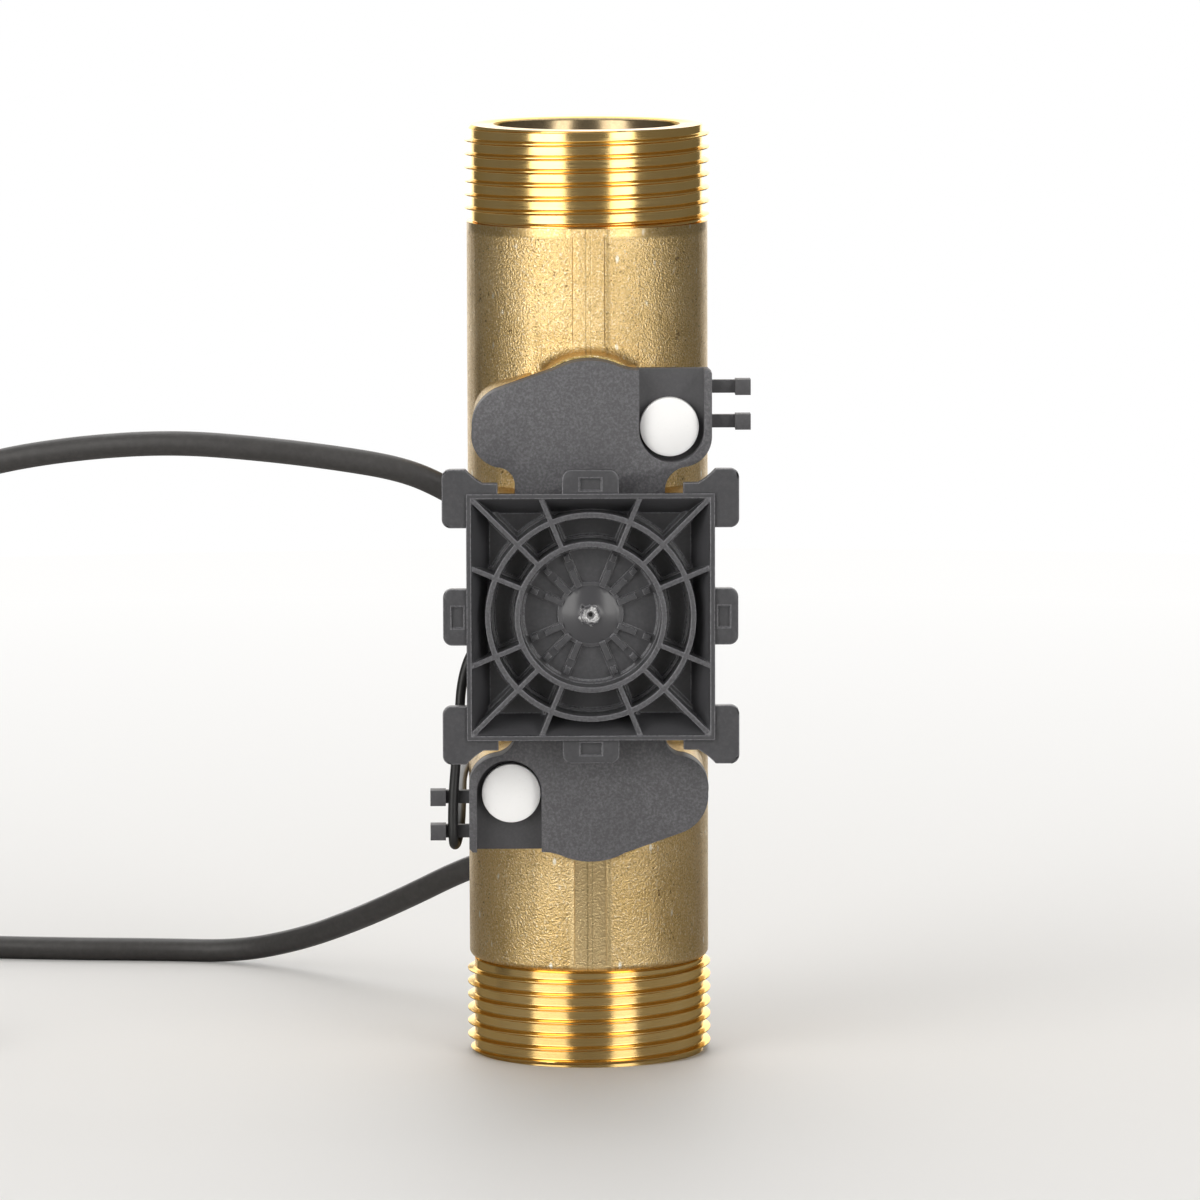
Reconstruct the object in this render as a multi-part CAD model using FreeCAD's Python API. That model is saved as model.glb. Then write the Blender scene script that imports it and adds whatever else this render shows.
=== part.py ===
# Flow part of an ultrasonic heat meter, standing on its lower thread.
# Millimetres. +Z runs up the pipe, the origin is on the pipe axis at the lower end face,
# and the cover and the adapter are on the -Y side.
# A "depth" is a distance in front of the pipe axis, so a depth d lies at Y = -d.
import FreeCAD, Part
import math
import os

V = FreeCAD.Vector
FRONT = V(0, -1, 0)
BACK = V(0, 1, 0)
UP = V(0, 0, 1)

# Pipe body
body_length = 160.0
thread_nominal = 41.91
thread_allowance = 0.31
thread_depth = 1.479
thread_length = 16.5
thread_chamfer = 1.2
thread_relief = 1.0
barrel_shoulder = 1.279
barrel_round_share = 0.94
flow_bore = 31.0
bore_chamfer = 0.6
parting_width = 6.1
parting_height = 0.35
parting_slope = 0.6

# Machined flange that carries the cover
flange_depth = 27.2
flange_root = 2.0
flange_setback = 0.3
sensor_boss = 11.5
sensor_boss_root = 2.4

# Cover: one moulding of two wings, a neck and a terminal chamber
gasket_thickness = 0.6
cover_height = 5.1
cover_wall = 1.3
cover_front = 1.4
chamber_half_width = 16.5
chamber_half_height = 19.5
neck_half_width = 12.6
wing_edge_x = 20.5
lobe_x = 19.8
crest_dz = 42.4
flat_dz = 40.75
sensor_dz = 31.3

# Pocket, cover screw and sealing cap of each wing
pocket_inner_x = 8.3
pocket_outer_x = 19.2
pocket_dz = 30.6
pocket_floor = 1.1
screw_x = 13.4
screw_dz = 31.0
cover_screw_shank = 3.2
cover_screw_head = 8.0
cover_screw_head_height = 1.3
cover_screw_reach = 8.0
cap_od = 9.9
cap_wall = 0.8
cap_dome = 0.55

# Lead hooks on the wings' outer edges
hook_dz = (37.65, 31.8)
hook_arm_height = 2.15
hook_arm_thickness = 1.5
hook_reach = 27.05
hook_head_width = 2.6
hook_head_height = 2.6
hook_head_depth = 3.2

# Transducers, their seals and clamps
transducer_od = 12.0
transducer_flange = 16.4
transducer_flange_height = 2.0
transducer_stub = 6.0
transducer_stub_height = 3.4
seal_section = 1.2
clamp_half_width = 5.6
clamp_screw_x = 11.3
clamp_thickness = 1.5
clamp_screw_shank = 3.0
clamp_screw_head = 5.4
clamp_screw_head_height = 1.9
clamp_screw_reach = 7.0

# Measuring insert, mirrors and the ring that keeps the insert in the bore
insert_half_length = 44.0
insert_wall = 1.35
throat_bore = 15.0
throat_half_length = 18.0
cone_length = 5.0
pedestal_od = 10.4
mirror_od = 9.8
mirror_thickness = 1.0
spoke_thickness = 1.6
spoke_top_dz = 42.0
ring_thickness = 1.5
ring_lip = 0.9
ring_gap_degrees = 50.0

# Terminal board, its pad and its pin header
board_width = 24.0
board_height = 26.0
board_thickness = 1.2
pad_thickness = 0.8
header_width = 15.0
header_height = 5.0
header_depth = 2.0
board_post = 2.6
wire_diameter = 1.2

# Calculator adapter
adapter_half = 20.8
adapter_back_half = 17.9
adapter_depth = 7.3
adapter_floor = 1.1
adapter_rim = 0.85
adapter_floor_half = 16.95
ring_wall = 0.95
inner_ring_radius = 12.3
outer_ring_radius = 17.2
rib_wall = 0.85
rib_step = 0.2
rib_foot_margin = 0.6
rib_foot_height = 0.5
hub_floor_rise = 1.2
hub_collar_radius = 5.5
hub_collar_height = 0.6
dome_radius = 4.9
dome_height = 1.1
gate_radius = 1.6
gate_bore = 0.6
gate_height = 0.25
low_rib_height = 1.2
low_rib_end = 8.2
low_block_start = 9.6
low_block_end = 10.8
tab_reach = 24.7
tab_half_width = 4.75
tab_setback = 0.6
tab_thickness = 2.0
tab_round = 1.5
window_length = 3.7
window_width = 2.1
window_depth = 0.6
window_gap = 1.35
ear_reach = 24.85
ear_inner = 15.5
ear_step_reach = 22.5
ear_ramp_start = 18.0
ear_ramp_end = 20.9
ear_tail = 15.0
peg_diameter = 3.0
peg_x = 11.0
peg_dz = 14.0
peg_length = 1.2

# Temperature probe in its port at the back of the pipe
probe_port_margin = 3.5
probe_boss_od = 16.0
probe_boss_reach = 25.5
probe_thread_od = 10.0
probe_sheath_od = 5.0
probe_tip_reach = 6.0
probe_seal_thickness = 1.0
probe_seal_od = 13.0
probe_hex = 14.0
probe_hex_height = 6.0
probe_head_od = 13.0
probe_head_length = 12.0
probe_head_round = 1.5

# Cords: the two cables and the thin lead over the hooks
cable_diameter = 4.2
lead_diameter = 1.7
boot_diameter = 4.5
boot_tip_diameter = 4.4
coil_turn_radius = 22.4
coil_columns = 4
coil_layer_rise = 3.7
coil_stub = 18.0
coil_landing = 12.0
plug_length = 20.0
plug_width = 9.0
plug_height = 7.0
plug_collar = 3.5
plug_gap = 0.35
far_probe_od = 5.2
far_probe_length = 42.0
far_probe_crimp_od = 6.2
far_probe_crimp_length = 9.0

# Fits
running = 0.1
seating = 0.05

# Values worked out from the ones above
mid = body_length / 2
thread_radius = (thread_nominal - thread_allowance) / 2
thread_root = thread_radius - thread_depth
barrel_radius = thread_root + barrel_shoulder
bore_radius = flow_bore / 2
cover_back = flange_depth + gasket_thickness
wing_depth = cover_back + cover_height
cover_inside = wing_depth - cover_front
pocket_depth = cover_back + pocket_floor
pocket_radius = (pocket_outer_x - pocket_inner_x) / 2
pocket_x = (pocket_outer_x + pocket_inner_x) / 2
adapter_back_depth = wing_depth
adapter_rim_depth = adapter_back_depth + adapter_depth
adapter_floor_depth = adapter_back_depth + adapter_floor
adapter_rib_depth = adapter_rim_depth - rib_step
hub_floor_depth = adapter_floor_depth + hub_floor_rise
tab_front = adapter_rim_depth - tab_setback
tab_back = tab_front - tab_thickness
flange_bottom = flange_depth - transducer_flange_height
seal_bottom = flange_bottom - seal_section
clamp_front = flange_depth + clamp_thickness
transducer_stub_depth = flange_depth + transducer_stub_height
insert_radius = bore_radius - seating * 3
probe_z = mid - insert_half_length - ring_thickness - probe_port_margin
probe_head_start = probe_boss_reach + probe_seal_thickness + probe_hex_height
probe_head_end = probe_head_start + probe_head_length
lead_radius = lead_diameter / 2
cable_radius = cable_diameter / 2


def at(x, dz):
    """Point in the outline plane, dz above the middle of the pipe."""
    return V(x, 0, mid + dz)


def line(a, b):
    return Part.LineSegment(a, b).toShape()


def arc(a, b, c):
    return Part.Arc(a, b, c).toShape()


def slab(face, near, far):
    """A flat outline pushed out from depth near to depth far."""
    moved = face.copy()
    moved.translate(FRONT * near)
    return moved.extrude(FRONT * (far - near))


def post(x, dz, radius, near, far):
    """A round post along the depth, from near to far."""
    return Part.makeCylinder(radius, far - near, V(x, -near, mid + dz), FRONT)


def block(x0, x1, dz0, dz1, near, far):
    return Part.makeBox(x1 - x0, far - near, dz1 - dz0, V(x0, -far, mid + dz0))


def turned(shape, degrees=180.0):
    """A copy turned about the depth axis through the middle of the pipe."""
    copy = shape.copy()
    copy.rotate(V(0, 0, mid), BACK, degrees)
    return copy


def both(shape):
    return shape.fuse(turned(shape))


def fused(shapes):
    shapes = list(shapes)
    return shapes[0].multiFuse(shapes[1:]).removeSplitter()


def revolved(points, centre, axis):
    """Solid of revolution; points are (radius, distance along the axis)."""
    wire = Part.makePolygon([V(r, 0, h) for r, h in points] + [V(points[0][0], 0, points[0][1])])
    solid = Part.Face(wire).revolve(V(0, 0, 0), UP, 360)
    solid.Placement = FreeCAD.Placement(centre, FreeCAD.Rotation(UP, axis))
    return solid


def rounded_rectangle(x0, x1, dz0, dz1, radius):
    """Face with four round corners."""
    inset = radius * (1 - math.sqrt(0.5))
    corners = ((x0, dz0, 1, 1), (x1, dz0, -1, 1), (x1, dz1, -1, -1), (x0, dz1, 1, -1))
    ends = []
    for x, dz, sx, sz in corners:
        along = at(x + sx * radius, dz)
        across = at(x, dz + sz * radius)
        middle = at(x + sx * inset, dz + sz * inset)
        ends.append((across, middle, along) if sx * sz > 0 else (along, middle, across))
    edges = []
    for i, (first, middle, last) in enumerate(ends):
        edges.append(arc(first, middle, last))
        edges.append(line(last, ends[(i + 1) % 4][0]))
    return Part.Face(Part.Wire(edges))


def wing_edges():
    """Outline from the chamber's left middle over the upper wing to its right middle."""
    left = [
        line(at(-chamber_half_width, 0), at(-chamber_half_width, chamber_half_height)),
        line(at(-chamber_half_width, chamber_half_height), at(-neck_half_width, chamber_half_height)),
        line(at(-neck_half_width, chamber_half_height), at(-neck_half_width, 21.6)),
        arc(at(-neck_half_width, 21.6), at(-13.5, 23.65), at(-15.6, 24.5)),
    ]
    lobe = [
        arc(at(-15.6, 24.5), at(-lobe_x + 0.8, 26.9), at(-lobe_x, sensor_dz - 0.6)),
        arc(at(-lobe_x, sensor_dz - 0.6), at(-lobe_x + 1.65, 35.6), at(-15.0, 37.65)),
        line(at(-15.0, 37.65), at(-5.8, crest_dz - 1.5)),
    ]
    crest = [
        arc(at(-5.8, crest_dz - 1.5), at(0.6, crest_dz), at(4.9, flat_dz + 0.62)),
        arc(at(4.9, flat_dz + 0.62), at(6.5, flat_dz + 0.14), at(8.3, flat_dz)),
    ]
    right = [
        line(at(8.3, flat_dz), at(wing_edge_x - 0.6, flat_dz)),
        line(at(wing_edge_x - 0.6, flat_dz), at(wing_edge_x, flat_dz - 0.6)),
        line(at(wing_edge_x, flat_dz - 0.6), at(wing_edge_x, 29.6)),
        arc(at(wing_edge_x, 29.6), at(wing_edge_x - 1.75, 25.7), at(15.9, 24.45)),
        arc(at(15.9, 24.45), at(13.55, 23.1), at(neck_half_width, 20.9)),
        line(at(neck_half_width, 20.9), at(neck_half_width, chamber_half_height)),
        line(at(neck_half_width, chamber_half_height), at(chamber_half_width, chamber_half_height)),
        line(at(chamber_half_width, chamber_half_height), at(chamber_half_width, 0)),
    ]
    return left + lobe + crest + right


def cover_outline():
    upper = wing_edges()
    return Part.Face(Part.Wire(upper + [turned(edge) for edge in upper]))


def pocket_face(grow):
    """Pocket of the upper wing, open at the wing's top edge."""
    top = crest_dz + 2
    radius = pocket_radius + grow
    left = at(pocket_x - radius, pocket_dz)
    right = at(pocket_x + radius, pocket_dz)
    edges = [
        arc(left, at(pocket_x, pocket_dz - radius), right),
        line(right, at(pocket_x + radius, top)),
        line(at(pocket_x + radius, top), at(pocket_x - radius, top)),
        line(at(pocket_x - radius, top), left),
    ]
    return Part.Face(Part.Wire(edges))


def cover_hollow(near, far):
    """Inside of the cover, less the solid floors under the two pockets."""
    inside = slab(cover_outline().makeOffset2D(-cover_wall), near, far)
    guard = both(slab(pocket_face(cover_wall), near, far))
    return inside.cut(guard)


def screw_holes(radius, near, far):
    return both(post(screw_x, screw_dz, radius, near, far))


def gland_start():
    """Where the signal cable's boot leaves the chamber's left wall."""
    return V(-chamber_half_width, -(cover_back + cover_inside) / 2 - 0.6, mid + 16.0)


gland_direction = V(-math.cos(math.radians(32)), 0, math.sin(math.radians(32)))
gland_inside = 2.2
gland_outside = 4.4
grommet_direction = V(-math.cos(math.radians(50)), 0, -math.sin(math.radians(50)))
grommet_diameter = 3.2
grommet_inside = 1.8
grommet_outside = 2.4


def grommet_start():
    """Where the thin lead's grommet leaves the chamber's left wall."""
    return V(-chamber_half_width, gland_start().y, mid - 2.6)


def threaded_end():
    """Lower threaded end as a plain profile from the end face to the barrel."""
    neck = thread_length - thread_relief
    profile = [
        (0, 0),
        (thread_radius - thread_chamfer, 0),
        (thread_radius, thread_chamfer * 1.3),
        (thread_radius, neck),
        (thread_root, neck + thread_relief / 2),
        (thread_root, thread_length),
        (0, thread_length),
    ]
    return revolved(profile, V(0, 0, 0), UP)


def cast_barrel():
    """Barrel with the round bosses of the two sensor bores blended into it."""
    barrel = Part.makeCylinder(barrel_radius, body_length - 2 * thread_length, V(0, 0, thread_length))
    lower_edge = [e for e in barrel.Edges if e.BoundBox.ZMax < mid and e.BoundBox.ZLength < 1e-6]
    barrel = barrel.makeFillet(barrel_round_share * barrel_shoulder, lower_edge)
    bosses = both(post(0, sensor_dz, sensor_boss, flange_root, flange_depth))
    barrel = barrel.fuse(bosses)
    return barrel.makeFillet(sensor_boss_root, [e for e in barrel.Edges if is_boss_root(e)])


def is_boss_root(edge):
    """The curves where a sensor boss leaves the barrel's round wall."""
    box = edge.BoundBox
    curved = box.YLength > 0.5 and box.XLength > 1.0 and box.ZLength > 1.0
    return curved and -box.YMin < flange_depth - 1 and box.YMax < 0


def parting_strip():
    """Raised strip of the casting's parting line, front and back, with sloped sides."""
    start = thread_length + barrel_shoulder
    length = body_length - 2 * start
    outer = parting_width / 2
    inner = outer - parting_slope
    base = barrel_radius - 3 * parting_height
    top = barrel_radius + 2 * parting_height
    corners = [V(-outer, -base, start), V(-inner, -top, start), V(inner, -top, start),
               V(outer, -base, start), V(outer, base, start), V(inner, top, start),
               V(-inner, top, start), V(-outer, base, start)]
    strip = Part.Face(Part.makePolygon(corners + corners[:1])).extrude(UP * length)
    return strip.common(Part.makeCylinder(barrel_radius + parting_height, length, V(0, 0, start)))


def brass_body():
    end = threaded_end()
    other = end.mirror(V(0, 0, mid), UP)
    flange = slab(cover_outline().makeOffset2D(-flange_setback), flange_root, flange_depth)
    boss_start = bore_radius - 1
    boss = Part.makeCylinder(probe_boss_od / 2, probe_boss_reach - boss_start,
                             V(0, boss_start, probe_z), BACK)
    body = fused([end, other, cast_barrel(), parting_strip(), flange, boss])

    bore = revolved([(0, 0), (bore_radius + bore_chamfer, 0), (bore_radius, bore_chamfer),
                     (bore_radius, body_length - bore_chamfer),
                     (bore_radius + bore_chamfer, body_length), (0, body_length)], V(0, 0, 0), UP)
    groove_bottom = mid - insert_half_length - ring_thickness - seating * 2
    groove = Part.makeCylinder(bore_radius + ring_lip, ring_thickness + seating * 2,
                               V(0, 0, groove_bottom))
    cuts = [bore, groove]
    sensor = fused([
        post(0, sensor_dz, transducer_od / 2 + running, bore_radius - 2, seal_bottom + 0.01),
        post(0, sensor_dz, transducer_od / 2 + seal_section + running, seal_bottom, flange_bottom + 0.01),
        post(0, sensor_dz, transducer_flange / 2 + running, flange_bottom, flange_depth + 1),
    ])
    clamp_hole = post(-clamp_screw_x, sensor_dz, clamp_screw_shank / 2 + seating,
                      flange_depth - clamp_screw_reach, flange_depth + 1)
    cuts += [both(sensor), both(clamp_hole)]
    cuts.append(screw_holes(cover_screw_shank / 2 + seating, flange_depth - cover_screw_reach,
                            flange_depth + 1))
    cuts.append(Part.makeCylinder(probe_thread_od / 2 + seating, probe_boss_reach,
                                  V(0, bore_radius - 3, probe_z), BACK))
    return body.cut(fused(cuts[:1] + cuts[1:]))


def cover_gasket():
    sheet = slab(cover_outline(), flange_depth, cover_back)
    opening = cover_hollow(flange_depth - 1, cover_back + 1)
    return sheet.cut(opening).cut(screw_holes(cover_screw_shank / 2 + running,
                                              flange_depth - 1, cover_back + 1))


def lead_hooks():
    """Two L-shaped hooks on the upper wing's outer edge."""
    arm_front = cover_back + hook_arm_thickness
    head_front = cover_back + hook_head_depth
    hooks = []
    for dz in hook_dz:
        half = hook_arm_height / 2
        head = hook_head_height / 2
        hooks.append(block(wing_edge_x - 0.6, hook_reach, dz - half, dz + half, cover_back, arm_front))
        hooks.append(block(hook_reach - hook_head_width, hook_reach, dz - head, dz + head,
                           cover_back, head_front))
    return fused(hooks)


def sensor_cover():
    shell = slab(cover_outline(), cover_back, wing_depth)
    shell = shell.cut(cover_hollow(cover_back - 1, cover_inside))
    pockets = both(slab(pocket_face(0), pocket_depth, wing_depth + 1))
    shell = shell.cut(pockets)
    posts = []
    for sx in (-1, 1):
        for sz in (-1, 1):
            posts.append(post(sx * (board_width - board_post) / 2, sz * (board_height - board_post) / 2,
                              board_post / 2, flange_depth + pad_thickness + board_thickness + seating,
                              cover_inside + 0.2))
    shell = fused([shell, both(lead_hooks())] + posts)
    shell = shell.cut(screw_holes(cover_screw_shank / 2 + running, cover_back - 1, pocket_depth + 1))
    gland_hole = Part.makeCylinder(boot_diameter / 2 + seating, gland_inside + 6,
                                   gland_start() - gland_direction * (gland_inside + 1), gland_direction)
    grommet_hole = Part.makeCylinder(grommet_diameter / 2 + seating, grommet_inside + 6,
                                     grommet_start() - grommet_direction * (grommet_inside + 1),
                                     grommet_direction)
    side = block(-chamber_half_width - 6, -chamber_half_width + cover_wall + 2.2, -chamber_half_height,
                 chamber_half_height, cover_back - 1, wing_depth - 0.3)
    shell = shell.cut(gland_hole.common(side)).cut(grommet_hole.common(side))
    for x in (-peg_x, peg_x):
        for dz in (-peg_dz, peg_dz):
            shell = shell.cut(post(x, dz, peg_diameter / 2 + running, cover_inside - 1, wing_depth + 1))
    return shell


def cover_screw():
    head = post(screw_x, screw_dz, cover_screw_head / 2, pocket_depth,
                pocket_depth + cover_screw_head_height)
    shank = post(screw_x, screw_dz, cover_screw_shank / 2,
                 flange_depth - cover_screw_reach + seating, pocket_depth + 0.01)
    return head.fuse(shank)


def seal_cap():
    """Domed sealing cap that snaps over the head of a cover screw."""
    outer = cap_od / 2
    roof = cover_screw_head_height + running
    shoulder = roof + cap_wall - cap_dome * 0.35
    crown = shoulder + cap_dome
    sphere_radius = (outer ** 2 + cap_dome ** 2) / (2 * cap_dome)
    centre = V(screw_x, -(pocket_depth + crown - sphere_radius), mid + screw_dz)
    dome = Part.makeSphere(sphere_radius, centre)
    shell = post(screw_x, screw_dz, outer, pocket_depth, pocket_depth + crown + 1).common(dome)
    hollow = post(screw_x, screw_dz, cover_screw_head / 2 + running, pocket_depth, pocket_depth + roof)
    return shell.cut(hollow)


def transducer():
    face = math.sqrt(bore_radius ** 2) + 0.1
    body = post(0, sensor_dz, transducer_od / 2, face, flange_bottom + 0.01)
    collar = post(0, sensor_dz, transducer_flange / 2, flange_bottom, flange_depth)
    half = transducer_stub / 2
    stub = block(-half, half, sensor_dz - half, sensor_dz + half, flange_depth - 0.01,
                 transducer_stub_depth)
    return fused([body, collar, stub])


def transducer_seal():
    mean = transducer_od / 2 + seal_section / 2 + seating
    return Part.makeTorus(mean, seal_section / 2, V(0, -(seal_bottom + seal_section / 2), mid + sensor_dz),
                          FRONT)


def transducer_clamp():
    half = clamp_half_width
    left = at(-clamp_screw_x, sensor_dz - half), at(-clamp_screw_x, sensor_dz + half)
    right = at(0, sensor_dz - half), at(0, sensor_dz + half)
    edges = [
        arc(left[0], at(-clamp_screw_x - half, sensor_dz), left[1]),
        line(left[1], right[1]),
        arc(right[1], at(half, sensor_dz), right[0]),
        line(right[0], left[0]),
    ]
    plate = slab(Part.Face(Part.Wire(edges)), flange_depth, clamp_front)
    window = transducer_stub / 2 + running
    plate = plate.cut(block(-window, window, sensor_dz - window, sensor_dz + window,
                            flange_depth - 1, clamp_front + 1))
    return plate.cut(post(-clamp_screw_x, sensor_dz, clamp_screw_shank / 2 + running,
                          flange_depth - 1, clamp_front + 1))


def clamp_screws():
    head = post(-clamp_screw_x, sensor_dz, clamp_screw_head / 2, clamp_front,
                clamp_front + clamp_screw_head_height)
    shank = post(-clamp_screw_x, sensor_dz, clamp_screw_shank / 2,
                 flange_depth - clamp_screw_reach + seating, clamp_front + 0.01)
    screw = head.fuse(shank)
    return Part.makeCompound([screw, turned(screw)])


def mirror_plane_block(back_offset):
    """Everything in front of the upper mirror's 45 degree plane, moved back by back_offset."""
    size = 60.0
    cutter = Part.makeBox(size, size, size, V(-size / 2, -size / 2, 0))
    cutter.Placement = FreeCAD.Placement(V(0, 0, mid + sensor_dz), FreeCAD.Rotation(UP, V(0, -1, -1)))
    cutter.translate(V(0, 1, 1).normalize() * back_offset)
    return cutter


def measuring_insert():
    """Tube with a narrowed throat, and a mirror pedestal on three spokes at each end."""
    inner = insert_radius - insert_wall
    cone = throat_half_length + cone_length
    half = [(insert_radius, 0), (insert_radius, insert_half_length), (inner, insert_half_length),
            (inner, cone), (throat_bore / 2, throat_half_length), (throat_bore / 2, 0)]
    upper = revolved(half, V(0, 0, mid), UP)
    lower = revolved(half, V(0, 0, mid), UP * -1)
    window = transducer_od / 2 + running * 3
    tube = fused([upper, lower]).cut(both(post(0, sensor_dz, window, inner - 6, insert_radius + 2)))
    pedestal = Part.makeCylinder(pedestal_od / 2, spoke_top_dz - sensor_dz + pedestal_od / 2,
                                 V(0, 0, mid + sensor_dz - pedestal_od / 2))
    pedestal = pedestal.cut(mirror_plane_block(mirror_thickness))
    spoke_start = sensor_dz + pedestal_od / 2
    spokes = []
    for degrees in (0, 90, 180):
        spoke = Part.makeBox(inner + insert_wall / 2, spoke_thickness, spoke_top_dz - spoke_start,
                             V(0, -spoke_thickness / 2, mid + spoke_start))
        spoke.rotate(V(0, 0, 0), UP, degrees)
        spokes.append(spoke.cut(Part.makeCylinder(pedestal_od / 4, body_length)))
    carrier = fused([pedestal] + spokes)
    return fused([tube, carrier, turned(carrier)])


def mirror():
    facing = V(0, -1, -1).normalize()
    base = V(0, 0, mid + sensor_dz) - facing * mirror_thickness
    return Part.makeCylinder(mirror_od / 2, mirror_thickness, base, facing)


def insert_ring():
    bottom = mid - insert_half_length - ring_thickness - seating
    outer = Part.makeCylinder(bore_radius + ring_lip - seating * 2, ring_thickness, V(0, 0, bottom))
    ring = outer.cut(Part.makeCylinder(insert_radius - insert_wall, ring_thickness, V(0, 0, bottom)))
    gap = Part.makeCylinder(bore_radius + 4, ring_thickness, V(0, 0, bottom), UP, ring_gap_degrees)
    gap.rotate(V(0, 0, 0), UP, 90 - ring_gap_degrees / 2)
    return ring.cut(gap)


def board_pad():
    half_width = board_width / 2 - 1
    half_height = board_height / 2 - 1
    return block(-half_width, half_width, -half_height, half_height, flange_depth,
                 flange_depth + pad_thickness)


def terminal_board():
    back = flange_depth + pad_thickness
    board = slab(rounded_rectangle(-board_width / 2, board_width / 2, -board_height / 2,
                                   board_height / 2, 1.0), back, back + board_thickness)
    return board


def header_blocks():
    """Pin headers that the two transducer wires end in, top and bottom of the board."""
    back = flange_depth + pad_thickness + board_thickness
    edge = board_height / 2 - 3.4
    upper = block(-header_width / 2, header_width / 2, edge - header_height, edge, back,
                  back + header_depth)
    return Part.makeCompound([upper, turned(upper)])


def transducer_wire():
    """Wire from the upper transducer's stub to the upper header."""
    depth = transducer_stub_depth - wire_diameter / 2 - seating * 2
    top = sensor_dz - transducer_stub / 2
    bottom = board_height / 2 - 3.4 + running
    run = (top - bottom) / 4
    points = [V(0, -depth, mid + top), V(0, -depth, mid + top - run),
              V(2.4, -depth, mid + top - 2 * run), V(0.4, -depth, mid + top - 3 * run),
              V(0, -depth, mid + bottom)]
    return cord_tube(points, wire_diameter, "transducer_wire")


def adapter_frustum(front_half, back_half, near, far):
    """Square frustum from depth near, half width back_half, to depth far, half front_half."""
    wires = []
    for half, depth in ((back_half, near), (front_half, far)):
        corners = [V(x * half, -depth, mid + z * half) for x, z in ((-1, -1), (1, -1), (1, 1), (-1, 1))]
        wires.append(Part.makePolygon(corners + corners[:1]))
    return Part.makeLoft(wires, True, True)


def rib_angles():
    """The ribs stand every sixteenth of a turn, apart from the four main directions."""
    return [22.5 * i for i in range(16) if i % 4]


def radial_bar(start, end, width, near, far):
    """A bar along +X from the hub, centred on the middle height."""
    return block(start, end, -width / 2, width / 2, near, far)


def tube_wall(radius, wall, near, far):
    outer = post(0, 0, radius + wall / 2, near, far)
    return outer.cut(post(0, 0, radius - wall / 2, near - 1, far + 1))


def adapter_ribs():
    foot_depth = adapter_floor_depth + rib_foot_height
    hub_foot = hub_floor_depth + rib_foot_height * 0.6
    pieces = [post(0, 0, inner_ring_radius, adapter_floor_depth - 0.3, hub_floor_depth)]
    for radius in (inner_ring_radius, outer_ring_radius):
        pieces.append(tube_wall(radius, ring_wall, adapter_floor_depth - 0.3, adapter_rib_depth))
        pieces.append(tube_wall(radius, ring_wall + 2 * rib_foot_margin, adapter_floor_depth - 0.3,
                                foot_depth))
    pieces.append(tube_wall(inner_ring_radius - ring_wall / 2, 2 * rib_foot_margin,
                            hub_floor_depth - 0.3, hub_foot))
    reach = adapter_half * 1.5
    bars = [
        (inner_ring_radius, reach, rib_wall, adapter_floor_depth - 0.3, adapter_rib_depth),
        (inner_ring_radius, reach, rib_wall + 2 * rib_foot_margin, adapter_floor_depth - 0.3, foot_depth),
        (hub_collar_radius - 0.5, inner_ring_radius, rib_wall + rib_foot_margin,
         hub_floor_depth - 0.3, hub_foot),
        (hub_collar_radius - 0.5, low_rib_end, rib_wall, hub_floor_depth - 0.3,
         hub_floor_depth + low_rib_height),
        (low_block_start, low_block_end, rib_wall, hub_floor_depth - 0.3,
         hub_floor_depth + low_rib_height),
    ]
    for degrees in rib_angles():
        pieces += [turned(radial_bar(*bar), degrees) for bar in bars]
    return fused(pieces).common(adapter_frustum(adapter_half, adapter_back_half,
                                                adapter_back_depth, adapter_rim_depth))


def adapter_hub():
    collar_top = hub_floor_depth + hub_collar_height
    collar = post(0, 0, hub_collar_radius, hub_floor_depth - 0.3, collar_top)
    sphere_radius = (dome_radius ** 2 + dome_height ** 2) / (2 * dome_height)
    sphere_depth = collar_top + dome_height - sphere_radius
    dome = Part.makeSphere(sphere_radius, V(0, -sphere_depth, mid))
    dome = dome.common(post(0, 0, dome_radius, collar_top - 0.3, collar_top + dome_height))
    apex = collar_top + dome_height
    gate = post(0, 0, gate_radius, collar_top, apex + gate_height)
    return fused([collar, dome, gate]).cut(post(0, 0, gate_bore, apex - 0.5, apex + gate_height + 1))


def adapter_tab():
    """Tab at the top side, with its shallow window."""
    inner = adapter_floor_half
    plate = slab(rounded_rectangle(-tab_half_width, tab_half_width, inner, tab_reach, tab_round),
                 tab_back, tab_front)
    plate = plate.fuse(block(-tab_half_width, tab_half_width, inner, inner + 2, tab_back, tab_front))
    window_top = tab_reach - window_gap
    return plate.removeSplitter(), block(-window_length / 2, window_length / 2,
                                         window_top - window_width, window_top,
                                         tab_front - window_depth, tab_front + 1)


def adapter_ear():
    """Ear at the upper right corner."""
    r = tab_round
    k = r * (1 - math.sqrt(0.5))
    inner = adapter_floor_half
    reach = ear_reach
    edges = [
        line(at(ear_inner, inner), at(ear_inner, ear_step_reach)),
        line(at(ear_inner, ear_step_reach), at(ear_ramp_start, ear_step_reach)),
        arc(at(ear_ramp_start, ear_step_reach),
            at((ear_ramp_start + ear_ramp_end) / 2, (ear_step_reach + reach) / 2 - 0.2),
            at(ear_ramp_end, reach)),
        line(at(ear_ramp_end, reach), at(reach - r, reach)),
        arc(at(reach - r, reach), at(reach - k, reach - k), at(reach, reach - r)),
        line(at(reach, reach - r), at(reach, ear_tail + r)),
        arc(at(reach, ear_tail + r), at(reach - k, ear_tail + k), at(reach - r, ear_tail)),
        line(at(reach - r, ear_tail), at(inner, ear_tail)),
        line(at(inner, ear_tail), at(inner, inner)),
        line(at(inner, inner), at(ear_inner, inner)),
    ]
    return slab(Part.Face(Part.Wire(edges)), tab_back, tab_front)


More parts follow.
